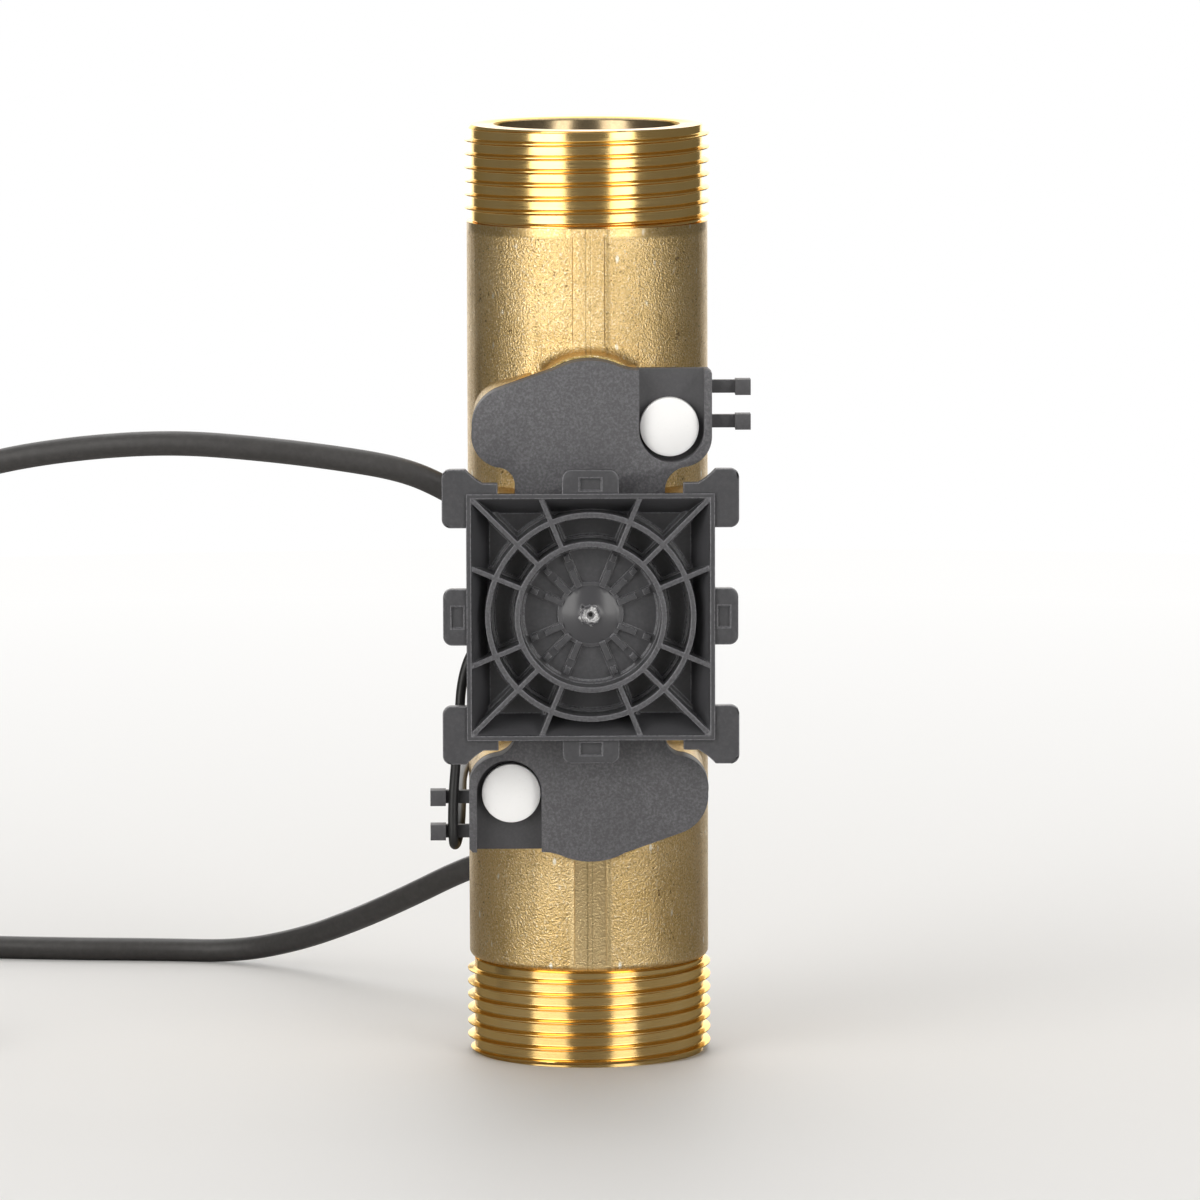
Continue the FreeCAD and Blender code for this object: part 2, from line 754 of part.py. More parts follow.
def calculator_adapter():
    """Square moulded pan with ribs, tabs and ears, pegged to the cover's front."""
    pan = adapter_frustum(adapter_half, adapter_back_half, adapter_back_depth, adapter_rim_depth)
    tab, window = adapter_tab()
    ear = adapter_ear()
    left_ear = ear.mirror(V(0, 0, mid), V(1, 0, 0))
    pieces = [pan] + [turned(tab, 90 * i) for i in range(4)]
    pieces += [ear, turned(ear), left_ear, turned(left_ear)]
    shell = fused(pieces)
    cavity = adapter_frustum(adapter_half - adapter_rim, adapter_floor_half, adapter_floor_depth,
                             adapter_rim_depth + 0.001)
    shell = shell.cut(cavity)
    for i in range(4):
        shell = shell.cut(turned(window, 90 * i))
    shell = fused([shell, adapter_ribs(), adapter_hub()])
    pegs = [post(x, dz, peg_diameter / 2, adapter_back_depth - peg_length, adapter_back_depth + 0.2)
            for x in (-peg_x, peg_x) for dz in (-peg_dz, peg_dz)]
    return fused([shell] + pegs)


def temperature_probe():
    """Sheath with its threaded shank, sealed in the port at the back."""
    face = probe_boss_reach + probe_seal_thickness
    shank = Part.makeCylinder(probe_thread_od / 2, face - bore_radius - 1,
                              V(0, bore_radius + 1, probe_z), BACK)
    sheath = Part.makeCylinder(probe_sheath_od / 2, face - probe_tip_reach - probe_sheath_od / 2,
                               V(0, probe_tip_reach + probe_sheath_od / 2, probe_z), BACK)
    tip = Part.makeSphere(probe_sheath_od / 2, V(0, probe_tip_reach + probe_sheath_od / 2, probe_z))
    corner = probe_hex / math.sqrt(3)
    points = [V(corner * math.cos(math.radians(60 * i)), face,
                probe_z + corner * math.sin(math.radians(60 * i))) for i in range(7)]
    hexagon = Part.Face(Part.makePolygon(points)).extrude(BACK * probe_hex_height)
    return fused([shank, sheath, tip, hexagon])


def probe_seal():
    washer = Part.makeCylinder(probe_seal_od / 2, probe_seal_thickness, V(0, probe_boss_reach, probe_z),
                               BACK)
    return washer.cut(Part.makeCylinder(probe_thread_od / 2 + running, probe_seal_thickness,
                                        V(0, probe_boss_reach, probe_z), BACK))


def head_boot(exit_point, direction, radius, inside):
    """Short round boot that ends at a cord's exit point."""
    return Part.makeCylinder(radius, inside, exit_point - direction * inside, direction)


def probe_head():
    """Moulded head with the cable's and the lead's boots."""
    head = Part.makeCylinder(probe_head_od / 2, probe_head_length, V(0, probe_head_start, probe_z), BACK)
    rims = [e for e in head.Edges if e.BoundBox.YLength < 1e-6 and e.BoundBox.YMin > probe_head_end - 1]
    head = head.makeFillet(probe_head_round, rims)
    cable_boot = head_boot(sensor_cable_points()[0], sensor_cable_direction(), cable_radius + 0.6, 6.5)
    lead_boot = head_boot(sensor_lead_points()[-1], V(0, 0, 1), lead_radius + 0.6, 5.0)
    return fused([head, cable_boot, lead_boot])


def signal_cable_points():
    """Route from the boot at the chamber's left wall to the coil on the floor."""
    start = gland_start() + gland_direction * gland_outside
    end = signal_coil_entry()
    return [start, start + gland_direction * 5.2, V(-31.5, -30.0, 104.0), V(-42.0, -29.4, 105.8),
            V(-55.5, -28.3, 107.4), V(-70.0, -26.8, 108.4), V(-85.0, -24.9, 107.4),
            V(-100.0, -23.0, 105.0), V(-117.0, -22.5, 100.0), V(-133.0, -24.0, 90.5),
            V(-146.0, -26.0, 77.0), V(-155.0, -27.0, 61.0), V(-160.5, -25.5, 44.5),
            V(-162.4, -20.8, 29.0), end - landing_direction * 8.0, end]


def sensor_cable_direction():
    return V(-0.80, 0.45, -0.40).normalize()


def sensor_cable_points():
    """Route from the probe's head, down to the floor and along it to the coil."""
    start = V(-probe_head_od / 2 - 1.5, probe_head_start + probe_head_length / 2, probe_z - 0.6)
    end = sensor_coil_entry()
    return [start, start + sensor_cable_direction() * 7.0, V(-22.5, 49.0, 23.4),
            V(-32.0, 58.0, 17.3), V(-42.0, 70.5, 11.0), V(-52.0, 83.0, 5.6),
            V(-63.5, 91.6, cable_radius), V(-77.0, 94.0, cable_radius), V(-92.0, 95.2, cable_radius),
            V(-107.0, 97.3, cable_radius), end + V(12.0, 0, 0), end]


def sensor_lead_points():
    """Thin lead: down over the two lower left hooks, back under them and round to the probe."""
    start = grommet_start() + grommet_direction * grommet_outside
    end = V(-2.0, 38.4, probe_z + probe_head_od / 2 + 2.0)
    down = [start + grommet_direction * 3.2, V(-21.7, -30.3, 68.0), V(-22.1, -30.4, 62.0),
            V(-22.6, -30.4, 55.5), V(-23.1, -30.4, 49.8), V(-23.3, -30.4, 45.0)]
    turn = [V(-23.2, -30.4, 40.8), V(-22.9, -28.5, 39.7), V(-22.4, -26.6, 40.8)]
    back = [V(-22.0, -24.0, 43.2), V(-21.9, -18.5, 45.2), V(-21.85, -10.5, 46.6),
            V(-21.8, -1.5, 47.8), V(-20.9, 7.0, 49.2), V(-17.4, 15.6, 50.8), V(-12.8, 23.2, 51.8),
            V(-8.0, 30.2, 51.0), V(-4.2, 35.4, 48.6), end + V(0, 0, 5.0)]
    return [start] + down + turn + back + [end]


def signal_coil_centre():
    return V(-135.0, 3.0, 0)


def sensor_coil_centre():
    return V(-150.0, 71.0, 0)


def outer_turn():
    return coil_turn_radius + (coil_columns - 1) * cable_radius


landing_direction = V(0, math.cos(math.radians(35)), -math.sin(math.radians(35)))


def signal_coil_seat():
    """Where the signal cable lands on top of its coil, on the left side."""
    centre = signal_coil_centre()
    return V(centre.x - outer_turn() + cable_radius, centre.y, cable_radius + coil_layer_rise)


def signal_coil_entry():
    return signal_coil_seat() - landing_direction * coil_landing


def sensor_coil_entry():
    """Start of the coil's straight lead-in stub, on its rear side."""
    centre = sensor_coil_centre()
    return V(centre.x + coil_stub, centre.y + outer_turn(), cable_radius)


def coil_ring(centre):
    outer = outer_turn() + cable_radius
    inner = coil_turn_radius - (coil_columns - 1) * cable_radius - cable_radius
    height = 2 * cable_radius + coil_layer_rise
    ring = Part.makeCylinder(outer, height, centre).cut(Part.makeCylinder(inner, height, centre))
    rims = [e for e in ring.Edges if e.BoundBox.ZLength < 1e-6 and e.BoundBox.XLength > 2 * outer - 1]
    return ring.makeFillet(cable_radius * 0.9, rims)


def signal_plug_seat():
    """Start of the stub to the plug, and where the plug's collar starts."""
    centre = signal_coil_centre()
    stub = V(centre.x, centre.y - outer_turn(), cable_radius)
    return stub, V(stub.x - coil_stub, stub.y, plug_height / 2)


def signal_cable_coil():
    entry = signal_coil_entry()
    lead_in = Part.makeCylinder(cable_radius, coil_landing, entry, landing_direction)
    stub, seat = signal_plug_seat()
    lead_out = Part.makeCylinder(cable_radius, (seat - stub).Length, stub, seat - stub)
    return fused([coil_ring(signal_coil_centre()), lead_in, lead_out])


def sensor_cable_coil():
    centre = sensor_coil_centre()
    lead_in = Part.makeCylinder(cable_radius, coil_stub, sensor_coil_entry(), V(-1, 0, 0))
    stub, seat = far_probe_seat()
    lead_out = Part.makeCylinder(cable_radius, (seat - stub).Length, stub, seat - stub)
    return fused([coil_ring(centre), lead_in, lead_out])


def far_probe_seat():
    """Start of the stub to the far probe on top of the coil, and where the probe's crimp starts."""
    centre = sensor_coil_centre()
    stub = V(centre.x - outer_turn() + cable_radius, centre.y, cable_radius + coil_layer_rise)
    return stub, V(stub.x, stub.y - coil_stub * 1.6, far_probe_crimp_od / 2)


def signal_cable_plug():
    """Flat plug on the signal cable's free end, lying beside its coil."""
    seat = signal_plug_seat()[1] - V(plug_gap, 0, 0)
    collar = Part.makeCylinder(cable_radius + 0.8, plug_collar + 0.5, seat, V(-1, 0, 0))
    left = seat.x - plug_collar - plug_length
    body = Part.makeBox(plug_length, plug_width, plug_height, V(left, seat.y - plug_width / 2, 0))
    edges = [e for e in body.Edges if e.BoundBox.XLength > plug_length - 1]
    body = body.makeFillet(0.8, edges)
    slots = []
    for i in range(4):
        slots.append(Part.makeBox(5.0, 1.3, 3.0, V(left, seat.y - 3.55 + i * 1.95,
                                                   plug_height / 2 - 1.5)))
    return collar.fuse(body).removeSplitter().cut(fused(slots))


def sensor_cable_probe():
    """Second temperature sensor on the cable's far end: a crimped metal sleeve."""
    profile = [(0, 0), (far_probe_crimp_od / 2, 0), (far_probe_crimp_od / 2, far_probe_crimp_length),
               (far_probe_od / 2, far_probe_crimp_length + 0.8),
               (far_probe_od / 2, far_probe_length - far_probe_od / 2),
               (far_probe_od / 4, far_probe_length - 0.4), (0, far_probe_length)]
    return revolved(profile, far_probe_seat()[1] + FRONT * plug_gap, FRONT)


def signal_cable_gland():
    """Angled boot of the signal cable, seated in the chamber's wall."""
    start = gland_start()
    inner = start - gland_direction * gland_inside
    profile = [(0, 0), (boot_diameter / 2, 0), (boot_diameter / 2, gland_inside + 2.0),
               (boot_tip_diameter / 2, gland_inside + gland_outside), (0, gland_inside + gland_outside)]
    return revolved(profile, inner, gland_direction)


def lead_grommet():
    inner = grommet_start() - grommet_direction * grommet_inside
    return Part.makeCylinder(grommet_diameter / 2, grommet_inside + grommet_outside, inner,
                             grommet_direction)


def cord_path(points, name):
    """Straight runs joined by tangent arcs as large as the runs allow."""
    edges = []
    last = points[0]
    radii = []
    for before, corner, after in zip(points, points[1:], points[2:]):
        first = (before - corner)
        second = (after - corner)
        turn = math.pi - first.getAngle(second)
        trim = 0.45 * min(first.Length, second.Length)
        radii.append(trim / math.tan(turn / 2))
        start = corner + V(first).normalize() * trim
        end = corner + V(second).normalize() * trim
        bisector = (V(first).normalize() + V(second).normalize()).normalize()
        reach = radii[-1] / math.cos(turn / 2) - radii[-1]
        edges.append(line(last, start))
        edges.append(arc(start, corner + bisector * reach, end))
        last = end
    edges.append(line(last, points[-1]))
    print(name, "smallest radius", round(min(radii), 1), "mm")
    return Part.Wire(edges)


def cord_tube(points, diameter, name):
    path = cord_path(points, name)
    direction = points[1] - points[0]
    ring = Part.Wire(Part.makeCircle(diameter / 2, points[0], direction))
    tube = path.makePipeShell([ring], True, False)
    expected = math.pi * (diameter / 2) ** 2 * path.Length
    print(name, "length", round(path.Length, 1), "volume ratio", round(tube.Volume / expected, 4))
    return tube


def signal_cable():
    return cord_tube(signal_cable_points(), cable_diameter, "signal_cable")


def sensor_cable():
    return cord_tube(sensor_cable_points(), cable_diameter, "sensor_cable")


def sensor_lead():
    return cord_tube(sensor_lead_points(), lead_diameter, "sensor_lead")


def pair(name, shape):
    """The same piece at the upper and at the lower sensor."""
    return {"upper_" + name: shape, "lower_" + name: turned(shape)}


def build():
    parts = {
        "brass_body": brass_body(),
        "measuring_insert": measuring_insert(),
        "insert_ring": insert_ring(),
        "cover_gasket": cover_gasket(),
        "sensor_cover": sensor_cover(),
        "clamp_screws": clamp_screws(),
        "board_pad": board_pad(),
        "terminal_board": terminal_board(),
        "header_blocks": header_blocks(),
        "calculator_adapter": calculator_adapter(),
        "signal_cable_gland": signal_cable_gland(),
        "signal_cable": signal_cable(),
        "signal_cable_coil": signal_cable_coil(),
        "signal_cable_plug": signal_cable_plug(),
        "lead_grommet": lead_grommet(),
        "sensor_lead": sensor_lead(),
        "temperature_probe": temperature_probe(),
        "probe_seal": probe_seal(),
        "probe_head": probe_head(),
        "sensor_cable": sensor_cable(),
        "sensor_cable_coil": sensor_cable_coil(),
        "sensor_cable_probe": sensor_cable_probe(),
    }
    parts.update(pair("mirror", mirror()))
    parts.update(pair("transducer", transducer()))
    parts.update(pair("transducer_seal", transducer_seal()))
    parts.update(pair("transducer_clamp", transducer_clamp()))
    parts.update(pair("transducer_wire", transducer_wire()))
    parts.update(pair("cover_screw", cover_screw()))
    parts.update(pair("seal_cap", seal_cap()))
    return parts


os.makedirs("parts", exist_ok=True)
for name, shape in build().items():
    box = shape.BoundBox
    print(name, "valid" if shape.isValid() else "NOT VALID", "solids", len(shape.Solids),
          "volume", round(shape.Volume, 2), "z", round(box.ZMin, 2), round(box.ZMax, 2))
    shape.exportStep("parts/" + name + ".step")
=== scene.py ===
"""Flow part of an ultrasonic heat meter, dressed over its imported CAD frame."""

import math

import bmesh
import bpy
from mathutils import Matrix, Vector


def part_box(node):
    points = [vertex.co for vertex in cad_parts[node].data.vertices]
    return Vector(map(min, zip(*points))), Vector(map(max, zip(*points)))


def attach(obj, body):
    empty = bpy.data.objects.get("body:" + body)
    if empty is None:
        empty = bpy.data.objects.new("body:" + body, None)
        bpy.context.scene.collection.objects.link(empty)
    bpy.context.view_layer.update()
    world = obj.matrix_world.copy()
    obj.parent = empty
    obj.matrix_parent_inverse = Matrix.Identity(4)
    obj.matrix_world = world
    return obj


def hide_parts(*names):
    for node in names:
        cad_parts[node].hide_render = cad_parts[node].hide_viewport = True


bl_info = {
    "name": "Heat Meter Flow Part",
    "version": (1, 0, 0),
    "blender": (4, 5, 0),
    "location": "View3D > Sidebar > Heat Meter",
    "description": "Builds the brass flow part with its cover, adapter and cables",
    "category": "Add Mesh",
}

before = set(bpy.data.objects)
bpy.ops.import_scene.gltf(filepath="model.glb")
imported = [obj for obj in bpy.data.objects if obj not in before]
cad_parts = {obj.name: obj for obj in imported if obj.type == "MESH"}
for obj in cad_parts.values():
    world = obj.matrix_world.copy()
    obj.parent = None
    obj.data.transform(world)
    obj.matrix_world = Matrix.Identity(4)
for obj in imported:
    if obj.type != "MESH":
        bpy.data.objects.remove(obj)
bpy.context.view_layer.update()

MM = 0.001
MERGE = 2e-6
BODY_LENGTH = 0.16
MIDDLE = Vector((0.0, 0.0, BODY_LENGTH / 2))

# The CAD body's own threaded ends are cut away up to here, and the helices end here
THREAD_REACH = 0.0162

# How far the flange's front face stands before the pipe's axis
FLANGE_FRONT = 0.0272

# Depth of the rib tops of the adapter, its foremost faces
RIB_TOPS = 0.040


class Graph:
    """Short calls for the nodes of a tree."""

    def __init__(self, tree):
        self.tree = tree

    def add(self, kind, inputs=None, **settings):
        """A new node, with its settings and then its inputs."""
        node = self.tree.nodes.new(kind)
        for key, value in settings.items():
            setattr(node, key, value)
        for key, value in (inputs or {}).items():
            self.put(value, node.inputs[key])
        return node

    def put(self, value, socket):
        """Links a socket to another, or sets it to a plain value."""
        if isinstance(value, bpy.types.NodeSocket):
            self.tree.links.new(value, socket)
        else:
            socket.default_value = value

    def math(self, operation, first, second=0.0):
        values = {0: first, 1: second}
        return self.add("ShaderNodeMath", values, operation=operation).outputs[0]


# Materials

class Nodes(Graph):
    """The nodes of a material or of the world, which read one kind of coordinates."""

    def __init__(self, tree, coordinates):
        super().__init__(tree)
        tree.nodes.clear()
        self.coordinates = self.add("ShaderNodeTexCoord").outputs[coordinates]

    def axes(self):
        """X, Y and Z of the coordinates."""
        return self.add("ShaderNodeSeparateXYZ", {0: self.coordinates}).outputs

    def mapped(self, scale):
        """The coordinates, scaled on each axis."""
        values = {"Scale": scale, "Vector": self.coordinates}
        return self.add("ShaderNodeMapping", values).outputs["Vector"]

    def noise(self, scale, detail=3.0, roughness=0.5, vector=None):
        """Soft noise from 0 to 1, as many grains to the metre as its scale says."""
        values = {"Scale": scale, "Detail": detail, "Roughness": roughness,
                  "Vector": vector or self.coordinates}
        return self.add("ShaderNodeTexNoise", values).outputs["Fac"]

    def spots(self, scale, vector):
        """Distance to the nearest of scattered points."""
        values = {"Scale": scale, "Vector": vector}
        return self.add("ShaderNodeTexVoronoi", values).outputs["Distance"]

    def ramp(self, source, low, high, start=0.0, end=1.0):
        """A value from low to high while the source goes from start to end."""
        values = {"From Min": start, "From Max": end, "To Min": low, "To Max": high,
                  "Value": source}
        return self.add("ShaderNodeMapRange", values).outputs["Result"]

    def mix(self, factor, first, second):
        """First and second are colours, or sockets that carry one."""
        values = {0: factor, 6: first, 7: second}
        for key in (6, 7):
            if not isinstance(values[key], bpy.types.NodeSocket):
                values[key] = (*values[key], 1.0)
        return self.add("ShaderNodeMix", values, data_type="RGBA").outputs[2]

    def band(self, source, start, end, soft):
        """1 while the source is between start and end, with soft edges."""
        rise = self.ramp(source, 0.0, 1.0, start - soft, start + soft)
        fall = self.ramp(source, 1.0, 0.0, end - soft, end + soft)
        return self.math("MULTIPLY", rise, fall)

    def distance(self, first, second):
        """Distance from the axis on which both coordinates are 0."""
        squares = (self.math("MULTIPLY", value, value) for value in (first, second))
        return self.math("SQRT", self.math("ADD", *squares))

    def blend(self, factor, first, second):
        """A mix of two shaders."""
        values = {0: factor, 1: first.outputs[0], 2: second.outputs[0]}
        return self.add("ShaderNodeMixShader", values).outputs[0]


class Shader(Nodes):
    """A material under construction."""

    def __init__(self, name, metal=False):
        self.material = bpy.data.materials.new(name)
        self.material.use_nodes = True
        super().__init__(self.material.node_tree, "Object")
        self.surface = self.add("ShaderNodeBsdfPrincipled")
        self.output = self.add("ShaderNodeOutputMaterial", {"Surface": self.surface.outputs[0]})
        if metal:
            self.set("Metallic", 1.0)

    def set(self, name, value):
        """Gives an input of the surface a value or a source."""
        self.put(value, self.surface.inputs[name])

    def colour(self, source):
        self.set("Base Color", source)

    def rough(self, source):
        self.set("Roughness", source)

    def bump(self, height, distance, strength):
        """Fine relief. The distance is the depth in metres of a height of 1."""
        values = {"Strength": strength, "Distance": distance, "Height": height}
        self.set("Normal", self.add("ShaderNodeBump", values).outputs["Normal"])


def shade(colour, factor):
    """The colour made lighter or darker."""
    return tuple(part * factor for part in colour)


def machined_brass():
    """Turned brass of the threads and faces, with tool lines around the pipe."""
    s = Shader("machined_brass", metal=True)
    lines = s.noise(1.0, 2.0, 0.5, s.mapped((40, 40, 3000)))
    patches = s.ramp(s.noise(110.0), 0.0, 1.0, 0.35, 0.7)
    base = s.mix(patches, (0.84, 0.565, 0.205), (0.90, 0.64, 0.27))
    dull = s.ramp(s.noise(900.0, 3.0, 0.6), 0.0, 0.35, 0.62, 0.8)
    s.colour(s.mix(dull, base, (0.55, 0.40, 0.20)))
    s.set("Specular Tint", (0.90, 0.80, 0.58, 1.0))
    s.rough(s.ramp(lines, 0.12, 0.22, 0.3, 0.7))
    s.bump(lines, 0.00002, 0.4)
    return s.material


def dull_brass(name, dark, light):
    """Faced end and bore of a thread, duller than the turned sides."""
    s = Shader(name, metal=True)
    grain = s.noise(1300.0)
    s.colour(s.mix(s.ramp(grain, 0.0, 1.0, 0.35, 0.7), dark, light))
    s.set("Specular Tint", (0.52, 0.42, 0.26, 1.0))
    s.set("Roughness", 0.22)
    s.bump(grain, 0.00001, 0.4)
    return s.material


def cast_brass(name, dark, light, lines):
    """Blasted casting: fine grain, small bright scars, dull patches and brown pits.

    With lines, it also has the marks of its mould, with painted shade and a painted highlight."""
    s = Shader(name, metal=True)
    grain = s.noise(3000.0, 2.0, 0.6)
    coarse = s.noise(900.0, 3.0, 0.6)
    patches = s.ramp(s.noise(60.0, 4.0, 0.6), 0.0, 1.0, 0.35, 0.66)
    base = s.mix(patches, dark, light)
    base = s.mix(s.ramp(grain, 0.0, 0.7, 0.46, 0.26), base, shade(dark, 0.45))
    base = s.mix(s.ramp(grain, 0.0, 0.7, 0.54, 0.70), base, (1.0, 0.90, 0.66))
    pitted = s.ramp(s.noise(150.0), 0.0, 0.8, 0.5, 0.6)
    pits = s.math("MULTIPLY", s.ramp(coarse, 0.0, 1.0, 0.62, 0.68), pitted)
    base = s.mix(pits, base, (0.20, 0.12, 0.05))
    scarred = s.ramp(s.noise(170.0), 0.0, 1.0, 0.52, 0.60)
    scars = s.ramp(s.spots(520.0, s.mapped((1.0, 1.0, 0.5))), 1.0, 0.0, 0.10, 0.20)
    base = s.mix(s.math("MULTIPLY", scars, scarred), base, (1.0, 0.94, 0.78))
    rough = s.ramp(coarse, 0.27, 0.38, 0.3, 0.7)
    height = s.math("ADD", s.math("MULTIPLY", grain, 1.7), s.math("MULTIPLY", coarse, 0.3))
    if lines:
        base, rough, height = mould_marks_and_painted_light(s, dark, base, rough, height)
    s.colour(base)
    s.rough(rough)
    s.bump(height, 0.00012, 0.9)
    return s.material


def mould_marks_and_painted_light(s, dark, base, rough, height):
    """Adds the marks of the mould, with painted light and shade, to the casting's colour, roughness
    and height.

    They are a smooth band round the pipe under its upper shoulder, darkened as painted shade, and
    fine grooves on the strip in front, with painted shade in them. The strip is also paler low
    down, a painted highlight."""
    x, y, z = s.axes()
    strip = s.band(x, -0.0034, 0.0036, 0.0004)
    under_shoulder = s.ramp(z, 0.0, 1.0, 0.1416, 0.1422)
    band = s.math("MULTIPLY", under_shoulder, s.math("SUBTRACT", 1.0, strip))
    # Painted shade: the band under the upper shoulder is darkened, standing for its rounded edge
    # turned to the dim ceiling; its grain is also smoothed
    base = s.mix(s.math("MULTIPLY", band, 0.38), base, shade(dark, 0.55))
    height = s.math("MULTIPLY", height, s.ramp(band, 1.0, 0.15))
    front = s.ramp(y, 1.0, 0.0, -0.019, -0.018)
    low = s.ramp(z, 1.0, 0.0, 0.05, 0.06)
    # The low part of the front strip: it is made a little rougher, and paler as a painted highlight
    low_strip_painted_light = s.math("MULTIPLY", s.math("MULTIPLY", strip, front), low)
    rough = s.math("ADD", rough, s.math("MULTIPLY", low_strip_painted_light, 0.1))
    base = s.mix(s.math("MULTIPLY", low_strip_painted_light, 0.7), base, (1.0, 0.78, 0.42))
    grooves = 0.0
    for left, right, soft in ((-0.0006, -0.0003, 0.0001), (0.0003, 0.00045, 0.0001),
                              (0.0030, 0.0035, 0.0003)):
        grooves = s.math("ADD", s.band(x, left, right, soft), grooves)
    grooves = s.math("MULTIPLY", s.math("MULTIPLY", grooves, front), 0.5)
    # Painted shade in the grooves and along the strip's right edge, which the bump also sinks
    base = s.mix(grooves, base, shade(dark, 0.4))
    height = s.math("SUBTRACT", height, grooves)
    return base, rough, height


def moulded_plastic(name, base, light, rough, grain_height, grain_scale=2300.0):
    """Glass-filled moulded plastic with a fine light grain."""
    s = Shader(name)
    grain = s.noise(grain_scale, 3.0, 0.7)
    patches = s.ramp(s.noise(70.0), 0.0, 0.35, 0.4, 0.7)
    colour = s.mix(s.ramp(grain, 0.0, 1.0, 0.42, 0.72), base, light)
    s.colour(s.mix(patches, colour, shade(base, 0.9)))
    s.rough(s.ramp(grain, rough - 0.06, rough + 0.06, 0.3, 0.7))
    s.bump(grain, grain_height, 0.6)
    return s.material


def gate_plastic(colour):
    """Glossy dome of the adapter, with the rough pale mark of the moulding gate in its middle, and
    a tiny pit at its centre painted dark as shade.
    """
    s = Shader("gate_plastic")
    x, _, z = s.axes()
    away = s.distance(x, s.math("SUBTRACT", z, MIDDLE.z))
    grain = s.noise(3200.0, 3.0, 0.7)
    ragged = s.math("ADD", away, s.ramp(s.noise(900.0), -0.0006, 0.0006, 0.3, 0.7))
    mark = s.ramp(ragged, 1.0, 0.0, 0.0012, 0.0017)
    pale = s.math("MULTIPLY", mark, s.ramp(grain, 0.3, 1.0, 0.38, 0.58))
    # A tiny pit at the centre: dented by the bump, and painted nearly black as painted shade
    hole = s.ramp(away, 1.0, 0.0, 0.0003, 0.0005)
    s.colour(s.mix(hole, s.mix(pale, colour, (0.75, 0.75, 0.76)), (0.03, 0.03, 0.03)))
    s.rough(s.ramp(mark, 0.22, 0.6))
    s.bump(s.math("SUBTRACT", s.math("MULTIPLY", grain, mark), hole), 0.0003, 1.0)
    return s.material


def steel(name, colour=(0.60, 0.60, 0.60), rough=0.3):
    """Bright metal with a faint grain."""
    s = Shader(name, metal=True)
    grain = s.noise(1500.0, 2.0)
    s.colour(s.mix(s.ramp(grain, 0.0, 1.0, 0.35, 0.65), colour, shade(colour, 0.86)))
    s.rough(s.ramp(s.noise(300.0), rough - 0.06, rough + 0.08, 0.3, 0.7))
    s.bump(grain, 0.00001, 0.4)
    return s.material


def rubbery(name, colour, rough):
    """Extruded cable sheath, boots and seals."""
    s = Shader(name)
    grain = s.noise(900.0, 3.0, 0.6)
    s.colour(s.mix(s.ramp(grain, 0.0, 1.0, 0.4, 0.7), colour, shade(colour, 1.3)))
    s.rough(s.ramp(s.noise(120.0), rough - 0.05, rough + 0.07, 0.3, 0.7))
    s.bump(grain, 0.00002, 0.5)
    return s.material


def make_materials(options):
    """Every finish by the short name that the pieces use."""
    cover = tuple(options.cover_colour)
    adapter = tuple(options.adapter_colour)
    finishes = {
        "machined": machined_brass(),
        "face": dull_brass("faced_brass", (0.38, 0.29, 0.17), (0.44, 0.34, 0.20)),
        "bore": dull_brass("bored_brass", (0.20, 0.145, 0.075), (0.25, 0.185, 0.10)),
        "cast": cast_brass("cast_brass", (0.70, 0.48, 0.19), (0.83, 0.60, 0.28), True),
        "flange": cast_brass("cast_flange", (0.46, 0.32, 0.10), (0.56, 0.41, 0.16), False),
        "gate": gate_plastic(adapter),
        "steel": steel("stainless_steel"),
        "screw": steel("zinc_screw", (0.66, 0.66, 0.64), 0.34),
        "mirror": steel("polished_mirror", (0.78, 0.78, 0.78), 0.14),
        "seal": rubbery("seal_rubber", (0.018, 0.018, 0.018), 0.6),
        "wire": rubbery("wire_sheath", (0.35, 0.03, 0.025), 0.45),
        "sheath": rubbery("cable_sheath", tuple(options.cable_colour), 0.42),
        "lead": rubbery("lead_sheath", (0.016, 0.016, 0.016), 0.4),
        "boot": rubbery("boot_rubber", (0.022, 0.022, 0.022), 0.5),
        "washer": rubbery("fibre_washer", (0.28, 0.05, 0.03), 0.7),
    }
    # Name, colour, lighter grain, roughness, depth of the grain and, if not the usual, its scale
    plastics = {
        "cover": ("cover_plastic", cover, shade(cover, 1.9), 0.55, 6e-5),
        # The pockets' plastic is darker: painted shade in the pockets
        "pocket": ("smooth_plastic", shade(cover, 0.8), cover, 0.5, 1e-5),
        "adapter": ("adapter_plastic", adapter, shade(adapter, 1.25), 0.36, 1e-5, 1500.0),
        # Rib tops are lighter than the rest, as painted light on the faces turned to the light
        "rib": ("rib_plastic", shade(adapter, 1.15), shade(adapter, 2.3), 0.36, 3e-5),
        # The bevels along the edges are pale: a painted highlight
        "edge": ("edge_plastic", shade(adapter, 1.7), shade(adapter, 3.2), 0.3, 1e-5),
        "cap": ("cap_plastic", (0.97, 0.97, 0.97), (0.98, 0.98, 0.98), 0.32, 5e-6),
        "insert": ("insert_plastic", (0.55, 0.53, 0.48), (0.6, 0.58, 0.54), 0.4, 1e-5),
        "transducer": ("transducer_plastic", (0.03, 0.03, 0.033), (0.05, 0.05, 0.05), 0.4, 1e-5),
        "board": ("solder_mask", (0.02, 0.13, 0.05), (0.03, 0.16, 0.07), 0.3, 5e-6),
        "header": ("header_plastic", (0.70, 0.69, 0.64), (0.75, 0.74, 0.7), 0.45, 1e-5),
        "plug": ("plug_plastic", (0.62, 0.61, 0.57), (0.68, 0.67, 0.64), 0.42, 1e-5),
        "head": ("head_plastic", (0.03, 0.03, 0.032), (0.045, 0.045, 0.045), 0.5, 2e-5),
    }
    for key, values in plastics.items():
        finishes[key] = moulded_plastic(*values)
    return finishes


MATERIALS = {}


